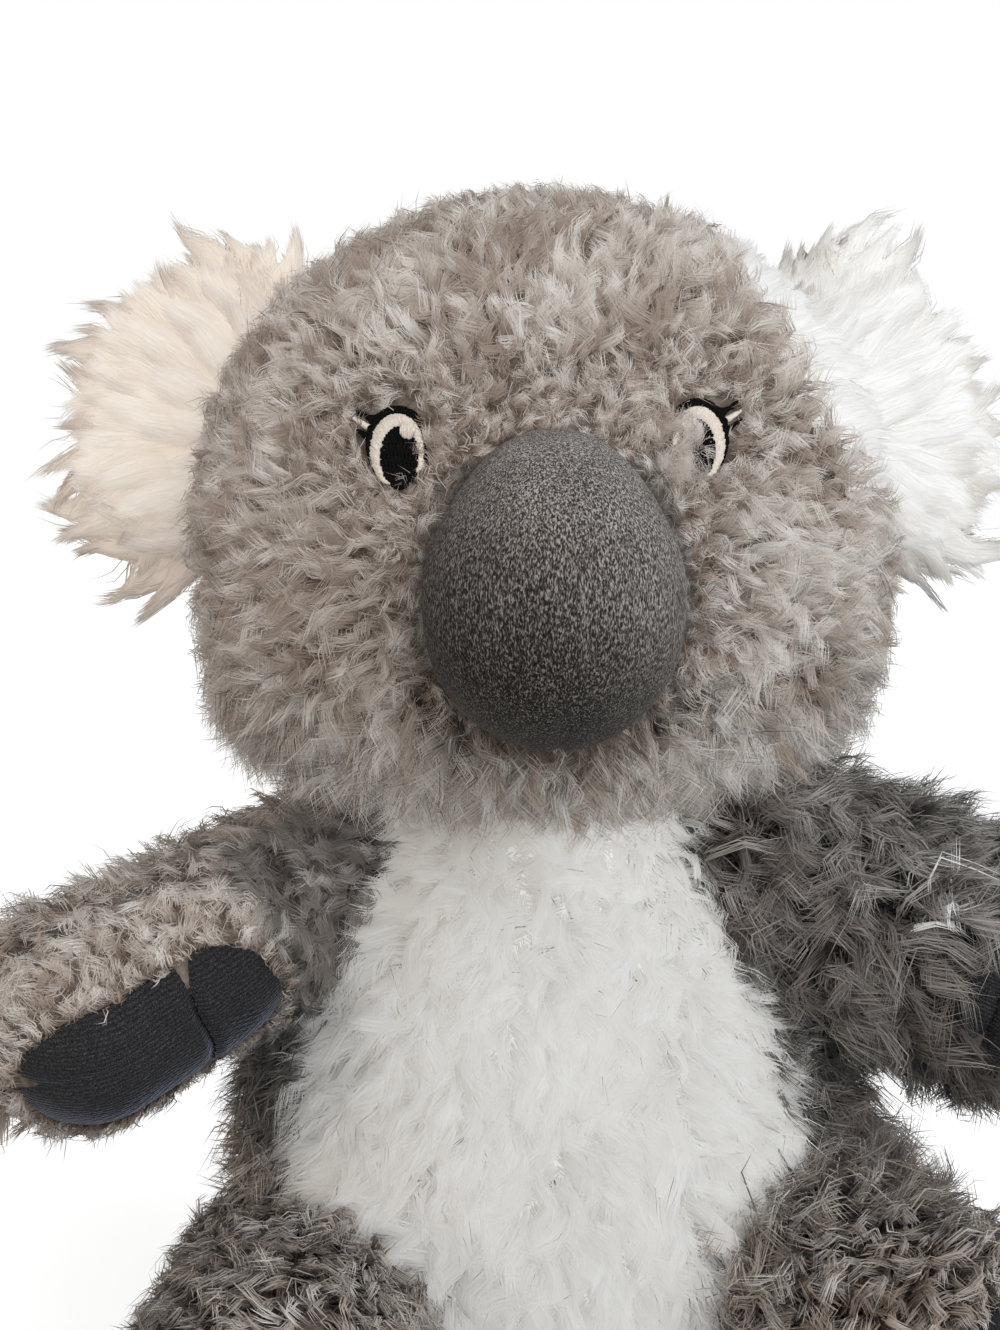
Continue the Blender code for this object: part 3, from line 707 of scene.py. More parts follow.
def pad_sheet(side, fr):
    ends = PAD_T[side]
    s = np.concatenate((np.linspace(0, 0.86, 26), np.linspace(0.89, 1.0, 6)))
    q = np.linspace(0, 2 * math.pi, 240, endpoint=False)
    # the outline: two half circles joined by straight sides, walked at an even pace
    around_pad = 2 * math.pi * PAD_R + 2 * (ends[1] - ends[0])
    walk = q / (2 * math.pi) * around_pad
    half, straight = math.pi * PAD_R, ends[1] - ends[0]
    out, core = [], []
    for w in walk:
        if w < half:
            a = w / PAD_R
            core.append((0, ends[1]))
            out.append((math.cos(a), math.sin(a)))
        elif w < half + straight:
            core.append((0, ends[1] - (w - half)))
            out.append((-1, 0))
        elif w < 2 * half + straight:
            a = math.pi + (w - half - straight) / PAD_R
            core.append((0, ends[0]))
            out.append((math.cos(a), math.sin(a)))
        else:
            core.append((0, ends[0] + (w - 2 * half - straight)))
            out.append((1, 0))
    core, out = np.array(core + core[:1]), np.array(out + out[:1])
    xz = core[None] + s[:, None, None] * out[None] * (PAD_R + 0.0003)
    x, z = xz[..., 0], xz[..., 1]
    plump = 0.0017 * (1 - s**4)[:, None] + 0.0001
    # one lengthwise crease, one across it where the topstitching pulls the cloth in
    seam = STITCH_T[side] + 0.0010 * np.sin(x / 0.004)
    across = np.exp(-(((z - seam) / 0.0015) ** 2)) * 0.0015
    fold = 0.0022 + 0.0020 * np.sin((z - ends[0]) / 0.012)
    along = np.exp(-(((x - fold) / 0.0014) ** 2)) * 0.0010 * smooth((seam - z + 0.002) / 0.010 if side == "left" else (z - seam + 0.002) / 0.010)
    rib = 0.00010 * np.sin(2 * math.pi * (x * math.cos(0.35) - z * math.sin(0.35)) / 0.00125) * (1 - s**6)[:, None]
    y = -(pad_height(x, z) + plump - across - along + rib)
    return to_world(fr, np.stack((x, y, z), -1))


STITCH_T = {"right": PAD_T["right"][0] + 0.0045, "left": PAD_T["left"][1] - 0.012}
arms, legs = {}, {}
for name, side in SIDES:
    fr = ARM_FRAMES[name]
    at, along = Vector(fr[0]), Vector(fr[1][:, 2])
    bend = (at - 0.006 * along, at + 0.020 * along)
    for panel, front in (("inner", 1), ("outer", -1)):
        skin = Skin(
            f"{name}_arm_{panel}_cloth", [arm_sheet(fr, front)], GREY_CLOTH,
            at + 0.04 * along, drop=lambda p: in_body(p, -0.0020),
        )
        finish_piece(skin.ob, name + "_arm", [f"{name}_arm_{panel}_panel"], bend)
        arms[name, panel] = skin
    pad = Skin(name + "_paw_pad_knit", [pad_sheet(name, fr)], PAD_KNIT[name], at + 0.055 * along, 0.0)
    finish_piece(pad.ob, name + "_arm", [name + "_paw_pad"])


def leg_rows():
    rows = [(LEG_R0 * math.sin(q), LEG_R0 * math.cos(q), LEG_R0 * math.cos(q)) for q in np.radians(np.linspace(-75, -4, 12))]
    for k in range(19):
        t = k / 18
        rows.append((LEG_L * t, LEG_R0 + (FOOT_HALF[0] - LEG_R0) * t, LEG_R0 + (FOOT_HALF[1] - LEG_R0) * t))
    for q in np.radians(np.linspace(4, 30, 7)):
        rows.append((LEG_L + FOOT_HALF[2] * math.sin(q), FOOT_HALF[0] * math.cos(q), FOOT_HALF[1] * math.cos(q)))
    return np.array(rows)


def leg_sheet(fr):
    rows = leg_rows()
    q = np.linspace(0, 2 * math.pi, 97)
    z, rx, ry = (rows[:, k][:, None] + 0 * q for k in range(3))
    return to_world(fr, np.stack((rx * np.cos(q), ry * np.sin(q), z), -1))


def sole_sheet(fr):
    a, q = np.meshgrid(np.radians(np.linspace(0, 60, 34)), np.linspace(0, 2 * math.pi, 121), indexing="ij")
    plump = 0.0010 * (1 - (np.degrees(a) / 60) ** 4) + 0.0002
    n = np.stack((np.sin(a) * np.cos(q), np.sin(a) * np.sin(q), np.cos(a)), -1)
    p = n * (FOOT_HALF + plump[..., None])
    p[..., 2] += LEG_L + 0.00008 * np.sin(2 * math.pi * p[..., 0] / 0.0013)
    return to_world(fr, p)


for name, side in SIDES:
    fr = LEG_FRAMES[name]
    at, along = Vector(fr[0]), Vector(fr[1][:, 2])
    bend = (at + 0.002 * along, at + 0.034 * along)
    skin = Skin(
        name + "_leg_cloth", [leg_sheet(fr)], GREY_CLOTH, at + 0.03 * along,
        drop=lambda p: in_body(p, -0.0020),
    )
    finish_piece(skin.ob, name + "_leg", [name + "_leg_panel"], bend)
    legs[name] = skin
    sole = Skin(name + "_foot_pad_knit", [sole_sheet(fr)], SOLE_KNIT[name], at + 0.03 * along, 0.0)
    finish_piece(sole.ob, name + "_leg", [name + "_foot_pad"])

# ------------------------------------------------------------------------ nose
a, b = np.meshgrid(np.linspace(0, math.pi * 0.62, 80), np.linspace(0, 2 * math.pi, 161), indexing="ij")
n = np.stack((np.sin(a) * np.cos(b), -np.cos(a), np.sin(a) * np.sin(b)), -1)
wide = 1 + 0.05 * smooth(-n[..., 2] * 1.6) - 0.10 * smooth(n[..., 2] * 1.3)
p = n * NOSE_HALF
p[..., 0] = p[..., 0] * wide + 0.0008
# the cloth is gathered at the bottom seam, and nicked at the top
gather = np.exp(-((p[..., 0] - 0.0022) / 0.0010) ** 2) * smooth((-n[..., 2] - 0.55) / 0.35)
nick = np.exp(-((p[..., 0] + 0.0004) / 0.0006) ** 2) * smooth((n[..., 2] - 0.90) / 0.08)
puckers = np.sin(p[..., 0] / 0.00055) * np.exp(-(p[..., 0] / 0.006) ** 2) * smooth((-n[..., 2] - 0.70) / 0.25)
p -= unit(n) * (0.0008 * gather + 0.0008 * nick + 0.00026 * puckers)[..., None]
nose = Skin("nose_velour_cover", [NOSE_AT + p], VELOUR, NOSE_AT, 0.0)
finish_piece(nose.ob, "head", ["nose_cover"])

# ------------------------------------------------------------------------ eyes
FACE_TREE = BVHTree.FromPolygons([Vector(v) for v in face.v], [list(t) for t in face.t])


def on_face(x, z, proud):
    hit, normal, _, _ = FACE_TREE.ray_cast(Vector((x, -0.2, z)), Vector((0, 1, 0)))
    return np.array(hit + normal * proud)


def stitches(name, side, rows, width, rise, proud, finish, body, nodes, seed):
    """Satin stitches: each is an arched strip of thread from one point to another."""
    rng = np.random.default_rng(seed)
    centre = EYE_AT["left" if side > 0 else "right"]
    bm = bmesh.new()
    for (u0, w0), (u1, w1) in rows:
        u0, w0, u1, w1 = (v + rng.normal() * 0.00006 for v in (u0, w0, u1, w1))
        du, dw = u1 - u0, w1 - w0
        size = math.hypot(du, dw)
        if size < 1e-5:
            continue
        nu, nw = -dw / size * width / 2, du / size * width / 2
        grid = []
        for t in (0.0, 0.10, 0.5, 0.90, 1.0):
            lift = rise * (0.0 if t in (0.0, 1.0) else 0.85 + 0.3 * (t == 0.5)) * (0.85 + 0.3 * rng.random())
            row = []
            for k, arch in ((-1, 0.0), (-0.5, 0.75), (0, 1.0), (0.5, 0.75), (1, 0.0)):
                u, w = u0 + du * t + k * nu, w0 + dw * t + k * nw
                row.append(bm.verts.new(on_face(side * (centre[0] - u), centre[1] + w, proud + lift * (0.45 + 0.55 * arch) - (0.0003 if t in (0.0, 1.0) else 0))))
            grid.append(row)
        for r0, r1 in zip(grid, grid[1:]):
            for k in range(4):
                bm.faces.new((r0[k], r0[k + 1], r1[k + 1], r1[k]))
    bmesh.ops.recalc_face_normals(bm, faces=bm.faces)
    if sum(f.normal.y for f in bm.faces) > 0:
        bmesh.ops.reverse_faces(bm, faces=bm.faces)
    mesh = bpy.data.meshes.new(name)
    bm.to_mesh(mesh)
    bm.free()
    mesh.shade_smooth()
    ob = make_object(name, mesh, finish)
    return finish_piece(ob, body, nodes)


def ellipse_at(at, half, angle, grow=0.0):
    return at[0] + (half[0] + grow) * math.cos(angle), at[1] + (half[1] + grow) * math.sin(angle)


def fill_rows(at, half, pitch, parts, seed):
    """Upright stitches that fill an ellipse, each column in a few staggered lengths."""
    rng = np.random.default_rng(seed)
    rows, count = [], int(2 * half[0] / pitch)
    for k in range(count):
        x = -half[0] + (k + 0.5) * 2 * half[0] / count
        y = half[1] * math.sqrt(max(0.0, 1 - (x / half[0]) ** 2))
        cuts = [-1.0] + sorted(-1 + 2 * (j + 0.5 * (k % 2) + 0.2 * rng.random()) / parts for j in range(1, parts)) + [1.0]
        for lo, hi in zip(cuts, cuts[1:]):
            rows.append(((at[0] + x, at[1] + y * lo), (at[0] + x, at[1] + y * hi)))
    return rows


def between(a, b, f):
    return a[0] + (b[0] - a[0]) * f, a[1] + (b[1] - a[1]) * f


for name, side in SIDES:
    # u grows towards the nose and w upwards, from the middle of the eye
    ring = []
    for k in range(110):
        a = 2 * math.pi * k / 110
        inner = ellipse_at(PUPIL_AT, PUPIL_HALF, a, -0.0004)
        outer = ellipse_at((0, 0), EYE_HALF, a + 0.10 * math.cos(a), 0.0)
        if math.hypot(*outer) > math.hypot(*inner) + 0.0002:
            ring.append((inner, outer))
    stitches(name + "_eye_ring_satin", side, ring, 0.00050, 0.00060, 0.0006, CREAM_THREAD, "head", [name + "_eye_ring"], 31)
    stitches(
        name + "_eye_pupil_satin", side, fill_rows(PUPIL_AT, PUPIL_HALF, 0.00034, 3, 5), 0.00046, 0.00040,
        0.0009, BLACK_THREAD, "head", [name + "_eye_pupil"], 32,
    )
    stitches(
        name + "_eye_glint_satin", side, fill_rows((0.0023, 0.0036), (0.0014, 0.0017), 0.00034, 1, 6), 0.00048,
        0.00055, 0.0014, CREAM_THREAD, "head", [name + "_eye_glint"], 33,
    )
    # a black outline, thick over the top and thin where it runs down each side
    lash = []
    for k in range(96):
        degrees = -12 + 228 * k / 95
        a = math.radians(degrees)
        thick = 0.0012 * smooth((degrees - 5) / 60) * smooth((215 - degrees) / 90) + 0.00025
        lash.append((ellipse_at((0, 0), EYE_HALF, a, -0.0002), ellipse_at((0, 0), EYE_HALF, a, thick)))
    # the upper lash is a curved horn that runs up and out, and a fine one lies below it
    for k in range(25):
        f = k / 24
        over = between((-0.0080, 0.0079), (-0.0032, 0.0068), f)
        under = between((-0.0078, 0.0068), (-0.0043, 0.0040), f)
        over = (over[0], over[1] - 0.0007 * math.sin(math.pi * f))
        under = (under[0], under[1] + 0.0003 * math.sin(math.pi * f))
        lash.append((under, over))
    for k in range(13):
        f = k / 12
        at = between((-0.0086, 0.0042), (-0.0053, 0.0020), f)
        half = 0.00015 + 0.0006 * f
        lash.append(((at[0] - 0.5 * half, at[1] - half), (at[0] + 0.5 * half, at[1] + half)))
    stitches(name + "_eye_lashes_satin", side, lash, 0.00050, 0.00050, 0.0006, BLACK_THREAD, "head", [name + "_eye_lashes"], 34)
    pale = []
    for k in range(12):
        f = k / 11
        at = between((-0.0082, 0.0056), (-0.0056, 0.0042), f)
        half = 0.00030 + 0.00028 * f
        pale.append(((at[0] - 0.5 * half, at[1] - half), (at[0] + 0.5 * half, at[1] + half)))
    stitches(name + "_eye_pale_lash", side, pale, 0.00045, 0.00055, 0.0012, CREAM_THREAD, "head", [], 35)


# ------------------------------------------------------------- topstitching
def thread_run(name, points, radius, finish, sides=7):
    """One thread along a line of points, as a closed tube with round ends."""
    points = np.array(points)
    way = unit(np.gradient(points, axis=0))
    up = np.array((0.0, 0.0, 1.0)) if abs(way[0, 2]) < 0.9 else np.array((1.0, 0.0, 0.0))
    x = unit(np.cross(way, up))
    y = np.cross(way, x)
    q = np.linspace(0, 2 * math.pi, sides, endpoint=False)
    size = np.full(len(points), radius)
    size[[0, -1]] = radius * 0.35
    ring = points[:, None] + size[:, None, None] * (x[:, None] * np.cos(q)[None, :, None] + y[:, None] * np.sin(q)[None, :, None])
    return ring


def tubes(name, runs, radius, finish):
    bm = bmesh.new()
    for points in runs:
        ring = thread_run(name, points, radius, finish)
        vs = [[bm.verts.new(p) for p in row] for row in ring]
        for r0, r1 in zip(vs, vs[1:]):
            for k in range(len(r0)):
                j = (k + 1) % len(r0)
                bm.faces.new((r0[k], r0[j], r1[j], r1[k]))
        bm.faces.new(vs[0][::-1])
        bm.faces.new(vs[-1])
    bmesh.ops.recalc_face_normals(bm, faces=bm.faces)
    mesh = bpy.data.meshes.new(name)
    bm.to_mesh(mesh)
    bm.free()
    mesh.shade_smooth()
    return make_object(name, mesh, finish)


for name, side in SIDES:
    fr = ARM_FRAMES[name]
    runs = []
    for k in range(9):
        xs = -0.0094 + 0.0021 * k + np.linspace(0, 0.0015, 5)
        zs = STITCH_T[name] + 0.0010 * np.sin(xs / 0.004)
        dip = np.array((-0.0009, -0.0002, 0.0, -0.0002, -0.0009))
        ys = -(pad_height(xs, zs) + 0.0012 + dip)
        runs.append(to_world(fr, np.stack((xs, ys, zs), -1)))
    ob = tubes(name + "_paw_topstitch", runs, 0.00018, BLACK_THREAD)
    finish_piece(ob, name + "_arm", [name + "_paw_stitching"])


# ------------------------------------------------------------------------ pile
def lay(flow, n):
    """The part of a direction that lies along the cloth."""
    return unit(flow - dot(flow, n)[:, None] * n)


def turn(t, n, angle):
    return t * np.cos(angle)[:, None] + np.cross(n, t) * np.sin(angle)[:, None]


def spaced(p, gap):
    keys = np.floor(p / gap).astype(np.int64)
    _, first = np.unique(keys, axis=0, return_index=True)
    return np.sort(first)


def fibres(p, n, region, gap, rng, skin, segments, width, soft):
    """Ribbons of fibre, gathered in locks that lean, curl and draw together."""
    c, cn = skin.scatter(max(4000, int(len(p) * 0.6)), rng)
    keep = spaced(c, gap)
    c, cn = c[keep], cn[keep]
    lock = region(c, cn)
    tree = KDTree(len(c))
    for k, q in enumerate(c):
        tree.insert(q, k)
    tree.balance()
    mine = np.array([tree.find(q)[1] for q in p + rng.normal(size=p.shape) * 0.14 * gap])
    count = len(c)

    def spread(key, amount):
        return np.broadcast_to(np.asarray(lock[key], float), (count,)) * (1 + amount * (2 * rng.random(count) - 1))

    t = turn(lay(lock["flow"], cn), cn, np.radians(np.broadcast_to(lock["stray"], (count,)) * rng.normal(size=count)))
    b = np.cross(cn, t)
    lean0, lean1 = np.radians(spread("lean0", 0.5)), np.radians(spread("lean1", 0.15))
    curl, sway = np.radians(spread("curl", 0.6)), spread("sway", 0.6)
    wave, phase = 0.7 + 0.5 * rng.random(count), rng.random(count)
    sense = np.where(rng.random(count) < 0.5, -1.0, 1.0)
    s = np.linspace(0, 1, segments + 1)
    m = (s[1:] + s[:-1]) / 2
    angle = lean0[:, None] + (lean1 - lean0)[:, None] * m + curl[:, None] * np.sin(2 * np.pi * (wave[:, None] * m + phase[:, None]))
    zero = np.zeros((count, 1))
    rise = np.concatenate((zero, np.cumsum(np.cos(angle), 1) / segments), 1)
    reach = np.concatenate((zero, np.cumsum(np.sin(angle), 1) / segments), 1)
    side = sense[:, None] * sway[:, None] * (
        np.sin(2 * np.pi * (wave[:, None] * s + phase[:, None])) - np.sin(2 * np.pi * phase)[:, None]
    )
    path = rise[..., None] * cn[:, None] + reach[..., None] * t[:, None] + side[..., None] * b[:, None]

    own = region(p, n)
    total = len(p)
    offset = p - c[mine]
    out = np.clip(np.linalg.norm(offset, axis=1) / (0.6 * gap), 0, 1)
    size = np.broadcast_to(np.asarray(own["length"], float), (total,)) * (0.80 + 0.28 * rng.random(total))
    size = size * (0.82 + 0.36 * rng.random(count))[mine] * (1.06 - 0.22 * out**2)
    draw = np.broadcast_to(np.asarray(lock["draw"], float), (count,))[mine] * (0.7 + 0.3 * rng.random(total))
    loose = rng.random(total) < np.broadcast_to(np.asarray(lock["loose"], float), (count,))[mine]
    draw = np.where(loose, 0.15 * draw, draw)
    frizz = np.broadcast_to(np.asarray(lock["frizz"], float), (count,))[mine] * np.where(loose, 2.6, 1.0)
    stray = rng.normal(size=(total, 3)) * frizz[:, None]
    wriggle = rng.normal(size=(total, 3)) * frizz[:, None] * 0.35
    pull = smooth(s * 1.15)
    line = p[:, None] + path[mine] * size[:, None, None]
    pos = line - offset[:, None] * (draw[:, None] * pull)[..., None]
    pos = pos + (stray[:, None] * (s**1.6)[None, :, None] + wriggle[:, None] * np.sin(2 * np.pi * 1.4 * s)[None, :, None]) * size[:, None, None]

    way = unit(np.gradient(pos, axis=1))
    w = unit(np.cross(way, n[:, None] * 0.8 + 0.2 * way[:, ::-1]))
    wild = rng.random(total) < 0.22
    twist = np.radians(np.where(wild, 80.0, 34.0) * (2 * rng.random(total) - 1))[:, None] + np.radians(24 * rng.normal(size=total))[:, None] * s
    w = w * np.cos(twist)[..., None] + np.cross(way, w) * np.sin(twist)[..., None]

    # light falls on a lock as on one soft rounded thing, and each fibre adds a little of its own
    skin_out = np.broadcast_to(n[:, None], pos.shape)
    over = skin_out - dot(skin_out, way)[..., None] * way
    bulge = pos - (c[mine][:, None] + path[mine] * size[:, None, None])
    bulge = (bulge - dot(bulge, way)[..., None] * way) / (0.55 * gap)
    bulge = bulge / np.maximum(1.0, np.linalg.norm(bulge, axis=-1, keepdims=True))
    look = unit(0.85 * (1 - soft) * over + (0.15 + soft) * skin_out + 0.75 * (1 - soft) * bulge + 0.08 * rng.normal(size=(total, 1, 3)))
    flip = np.sum(dot(np.cross(w, way), look), axis=1) < 0
    w = np.where(flip[:, None, None], -w, w)

    taper = np.interp(s, (0, 0.25, 0.6, 0.85, 1.0), (0.80, 1.0, 0.90, 0.55, 0.0))
    broad = np.broadcast_to(np.asarray(own.get("width", width), float), (total,)) * (0.75 + 0.5 * rng.random(total))
    half = broad[:, None, None] * taper[None, :, None] * w / 2
    verts = np.empty((total, 2 * segments + 1, 3))
    verts[:, 0:2 * segments:2] = (pos - half)[:, :-1]
    verts[:, 1:2 * segments:2] = (pos + half)[:, :-1]
    verts[:, -1] = pos[:, -1]
    verts[..., 2] = np.maximum(verts[..., 2], FLOOR_GAP + 0.0004 * rng.random((total, 1)))
    normals = np.empty_like(verts)
    bow = 0.35 * (1 - soft)
    normals[:, 0:2 * segments:2] = unit(look - bow * w)[:, :-1]
    normals[:, 1:2 * segments:2] = unit(look + bow * w)[:, :-1]
    normals[:, -1] = look[:, -1]
    frost = np.broadcast_to(np.asarray(lock["frost"], float), (count,)) + np.asarray(lock.get("mottle", 0.20)) * rng.normal(size=count)
    frost = np.where(rng.random(count) < lock.get("silver", 0.0), frost + 0.50, frost)
    # edge dyes the outer fibres of a lock darker and the middle ones lighter: painted shade in the gaps between locks
    frost = frost[mine] + 0.05 * rng.normal(size=total) - np.broadcast_to(np.asarray(lock.get("edge", 0.30), float), (count,))[mine] * (out**2 - 0.35)
    shade = np.clip((frost * COLUMNS).astype(int), 0, COLUMNS - 1)
    return verts, normals, shade, c[mine]


def pile_object(name, verts, normals, shade, finish):
    total, per = verts.shape[:2]
    segments = (per - 1) // 2
    first = np.arange(total)[:, None] * per
    k = np.arange(segments - 1)
    quads = np.stack((2 * k, 2 * k + 1, 2 * k + 3, 2 * k + 2), -1).reshape(-1)
    corners = np.concatenate((quads, (2 * segments - 2, 2 * segments - 1, 2 * segments)))
    loops = (first + corners[None]).reshape(-1)
    sizes = np.tile(np.array([4] * (segments - 1) + [3]), total)
    starts = np.concatenate(((0,), np.cumsum(sizes)[:-1]))
    mesh = bpy.data.meshes.new(name)
    mesh.vertices.add(total * per)
    mesh.vertices.foreach_set("co", verts.astype(np.float32).reshape(-1))
    mesh.loops.add(len(loops))
    mesh.loops.foreach_set("vertex_index", loops.astype(np.int32))
    mesh.polygons.add(len(sizes))
    mesh.polygons.foreach_set("loop_start", starts.astype(np.int32))
    mesh.polygons.foreach_set("loop_total", sizes.astype(np.int32))
    mesh.update(calc_edges=True)
    mesh.shade_smooth()
    layer = mesh.uv_layers.new(name="OFBake")
    level = np.repeat(np.arange(segments + 1), 2)[:per] / segments
    right = (np.arange(per) % 2).astype(float)
    right[-1] = 0.5
    u = (shade[:, None] + 0.12 + 0.76 * right[corners][None]) / COLUMNS
    v = np.broadcast_to(0.004 + 0.992 * level[corners][None], u.shape)
    layer.data.foreach_set("uv", np.stack((u, v), -1).astype(np.float32).reshape(-1))
    facing = mesh.attributes.new("custom_normal", "FLOAT_VECTOR", "POINT")
    facing.data.foreach_set("vector", normals.astype(np.float32).reshape(-1))
    return make_object(name, mesh, finish)


def pile(name, skin, count, region, finish, body, seed, gap=0.0030, segments=4, width=0.00040, parts=None, bend=None, soft=0.15, crowd=1, shade_cast=False):
    """Grows the pile of one panel. parts names its pieces and says which lock is in which."""
    rng = np.random.default_rng(seed)
    p, n = skin.scatter(int(count * DENSITY), rng)
    rules = region(p, n)
    keep = rng.random(len(p)) < np.broadcast_to(np.asarray(rules["keep"], float), (len(p),))
    p, n = np.repeat(p[keep], crowd, 0), np.repeat(n[keep], crowd, 0)
    if crowd > 1:
        step = 0.00025 * rng.normal(size=p.shape)
        p = p + step - dot(step, n)[..., None] * n
    verts, normals, shade, centres = fibres(p, n, region, gap, rng, skin, segments, width, soft)
    names, pick = parts if parts else ((name,), lambda q: np.zeros(len(q), int))
    group = pick(centres)
    for k, piece in enumerate(names):
        mine = group == k
        print("pile", piece, int(mine.sum()), "fibres", int(mine.sum()) * (2 * segments - 1), "triangles")
        if mine.any() and piece != "spare":
            ob = pile_object(piece, verts[mine], normals[mine], shade[mine], finish)
            # the finest fibres pass light on rather than stop it
            ob.visible_shadow = shade_cast
            finish_piece(ob, body, bend=bend)


DENSITY = 1.0


def base(p, **values):
    rules = {
        "keep": 1.0, "length": 0.011, "lean0": 16.0, "lean1": 82.0, "curl": 30.0, "sway": 0.17,
        "stray": 24.0, "draw": 0.68, "loose": 0.12, "frizz": 0.050, "frost": 0.42,
    }
    rules.update(values)
    return rules


def eye_place(p, name, side):
    """Across and up from the middle of an eye, across growing away from the nose."""
    x, z = EYE_AT[name]
    return side * p[:, 0] - x, p[:, 2] - z


def face_zone(p):
    """1 where the pile is short and matted, round the nose and the eyes; 0 on open fur."""
    front = p[:, 1] < -0.02
    far = np.hypot((p[:, 0] - 0.0008) / NOSE_HALF[0], (p[:, 2] - NOSE_AT[2]) / NOSE_HALF[2]) - 1
    reach = 0.15 + 0.32 * smooth((p[:, 2] - 0.178) / 0.024)
    zone = 1 - smooth(far / reach)
    for name, side in SIDES:
        x, z = eye_place(p, name, side)
        e = np.hypot(x / (EYE_HALF[0] + 0.0012), z / (EYE_HALF[1] + 0.0012))
        zone = np.maximum(zone, 1 - smooth((e - 1.0) / (1.75 + 0.5 * (x < 0))))
    bridge = np.exp(-((p[:, 0] - 0.001) / 0.022) ** 2 - ((p[:, 2] - 0.243) / 0.008) ** 2)
    zone = np.maximum(zone, smooth(bridge * 1.4))
    return np.where(front, zone, 0.0)


def outward(p, n):
    """The way that the head's pile lies: away from the nose in front, down behind."""
    front = smooth((0.020 - p[:, 1]) / 0.050)
    away = unit(p - np.array((0.0, -0.085, 0.206)))
    flow = away * front[:, None] + np.array((0.0, 0.10, -1.0)) * (1 - front)[:, None]
    low = smooth((0.225 - p[:, 2]) / 0.05)
    return flow + np.array((0.0, 0.0, -0.55)) * low[:, None]


def ear_patch(p):
    """1 where the long hair of an ear runs on over the side of the head."""
    left = np.interp(p[:, 2], (0.205, 0.2098, 0.2253, 0.2387, 0.2533, 0.262, 0.272), (0.086, 0.0750, 0.0612, 0.0525, 0.0432, 0.0388, 0.0330))
    right = np.interp(p[:, 2], (0.205, 0.213, 0.2285, 0.247, 0.264, 0.270), (0.090, 0.080, 0.0690, 0.0640, 0.057, 0.052))
    edge = np.where(p[:, 0] > 0, left, right)
    ragged = 0.0012 * swell(p, 0.005, 12)
    return smooth((np.abs(p[:, 0]) + ragged - edge) / 0.0025) * (p[:, 1] < 0.004)


CREASE = np.array(((0.0432, 0.2412), (0.0478, 0.2386), (0.0502, 0.2335), (0.0494, 0.2290)))


def crease(p):
    """How far a place is from the fold beside the left eye."""
    q = p[:, (0, 2)]
    far = np.full(len(p), 0.05)
    for a, b in zip(CREASE[:-1], CREASE[1:]):
        t = np.clip(((q - a) @ (b - a)) / ((b - a) @ (b - a)), 0, 1)
        far = np.minimum(far, np.linalg.norm(q - a - t[:, None] * (b - a), axis=1))
    return np.where(p[:, 1] < 0, far, 0.05)


def head_region(p, n):
    low = smooth((0.205 - p[:, 2]) / 0.035)
    top = smooth((p[:, 2] - 0.262) / 0.016)
    zone = face_zone(p)
    under = smooth((-n[:, 2] - 0.35) / 0.40)
    flow = outward(p, n)
    swirl = np.radians(30) * swell(p, 0.030, 5) + np.radians(18) * swell(p, 0.011, 6)
    flow = turn(lay(flow, n), n, swirl)
    jowl = smooth((-p[:, 0] - 0.020) / 0.03) * smooth((0.200 - p[:, 2]) / 0.02)
    length = (0.0108 + 0.0034 * low + 0.0028 * jowl - 0.0022 * top) * (1 - 0.45 * zone)
    fold = np.exp(-((crease(p) / 0.0022) ** 2))
    length = length * (1 - 0.55 * fold)
    # painted light and shade in the frost: lighter towards the koala's left side and on the underside, and far darker
    # in the fold beside the left eye
    frost = 0.42 + 0.26 * swell(p, 0.026, 3) + 0.16 * swell(p, 0.012, 4) + 0.15 * smooth((p[:, 0] + 0.01) / 0.05) - 0.06 * smooth((p[:, 2] - 0.258) / 0.010) + 0.07 * np.exp(-(((p[:, 2] - 0.247) / 0.012) ** 2)) + 0.12 * under - 0.50 * fold
    cheek = low * (1 - smooth((p[:, 0] - 0.02) / 0.03))
    # edge, larger on the lower face away from its left side and underneath, deepens the painted shade between locks
    # there
    return base(
        p, keep=(1 - zone) * (1 - ear_patch(p)) * (crease(p) > 0.0011), length=length * (1 + 0.30 * under), flow=flow, frost=frost, stray=26.0 + 8 * under,
        lean0=16 - 4 * under, lean1=82 - 34 * under - 14 * jowl, silver=0.10 + 0.06 * cheek, mottle=0.25 + 0.14 * cheek + 0.10 * under, edge=0.42 + 0.25 * cheek + 0.15 * under,
        curl=30 + 14 * under,
    )


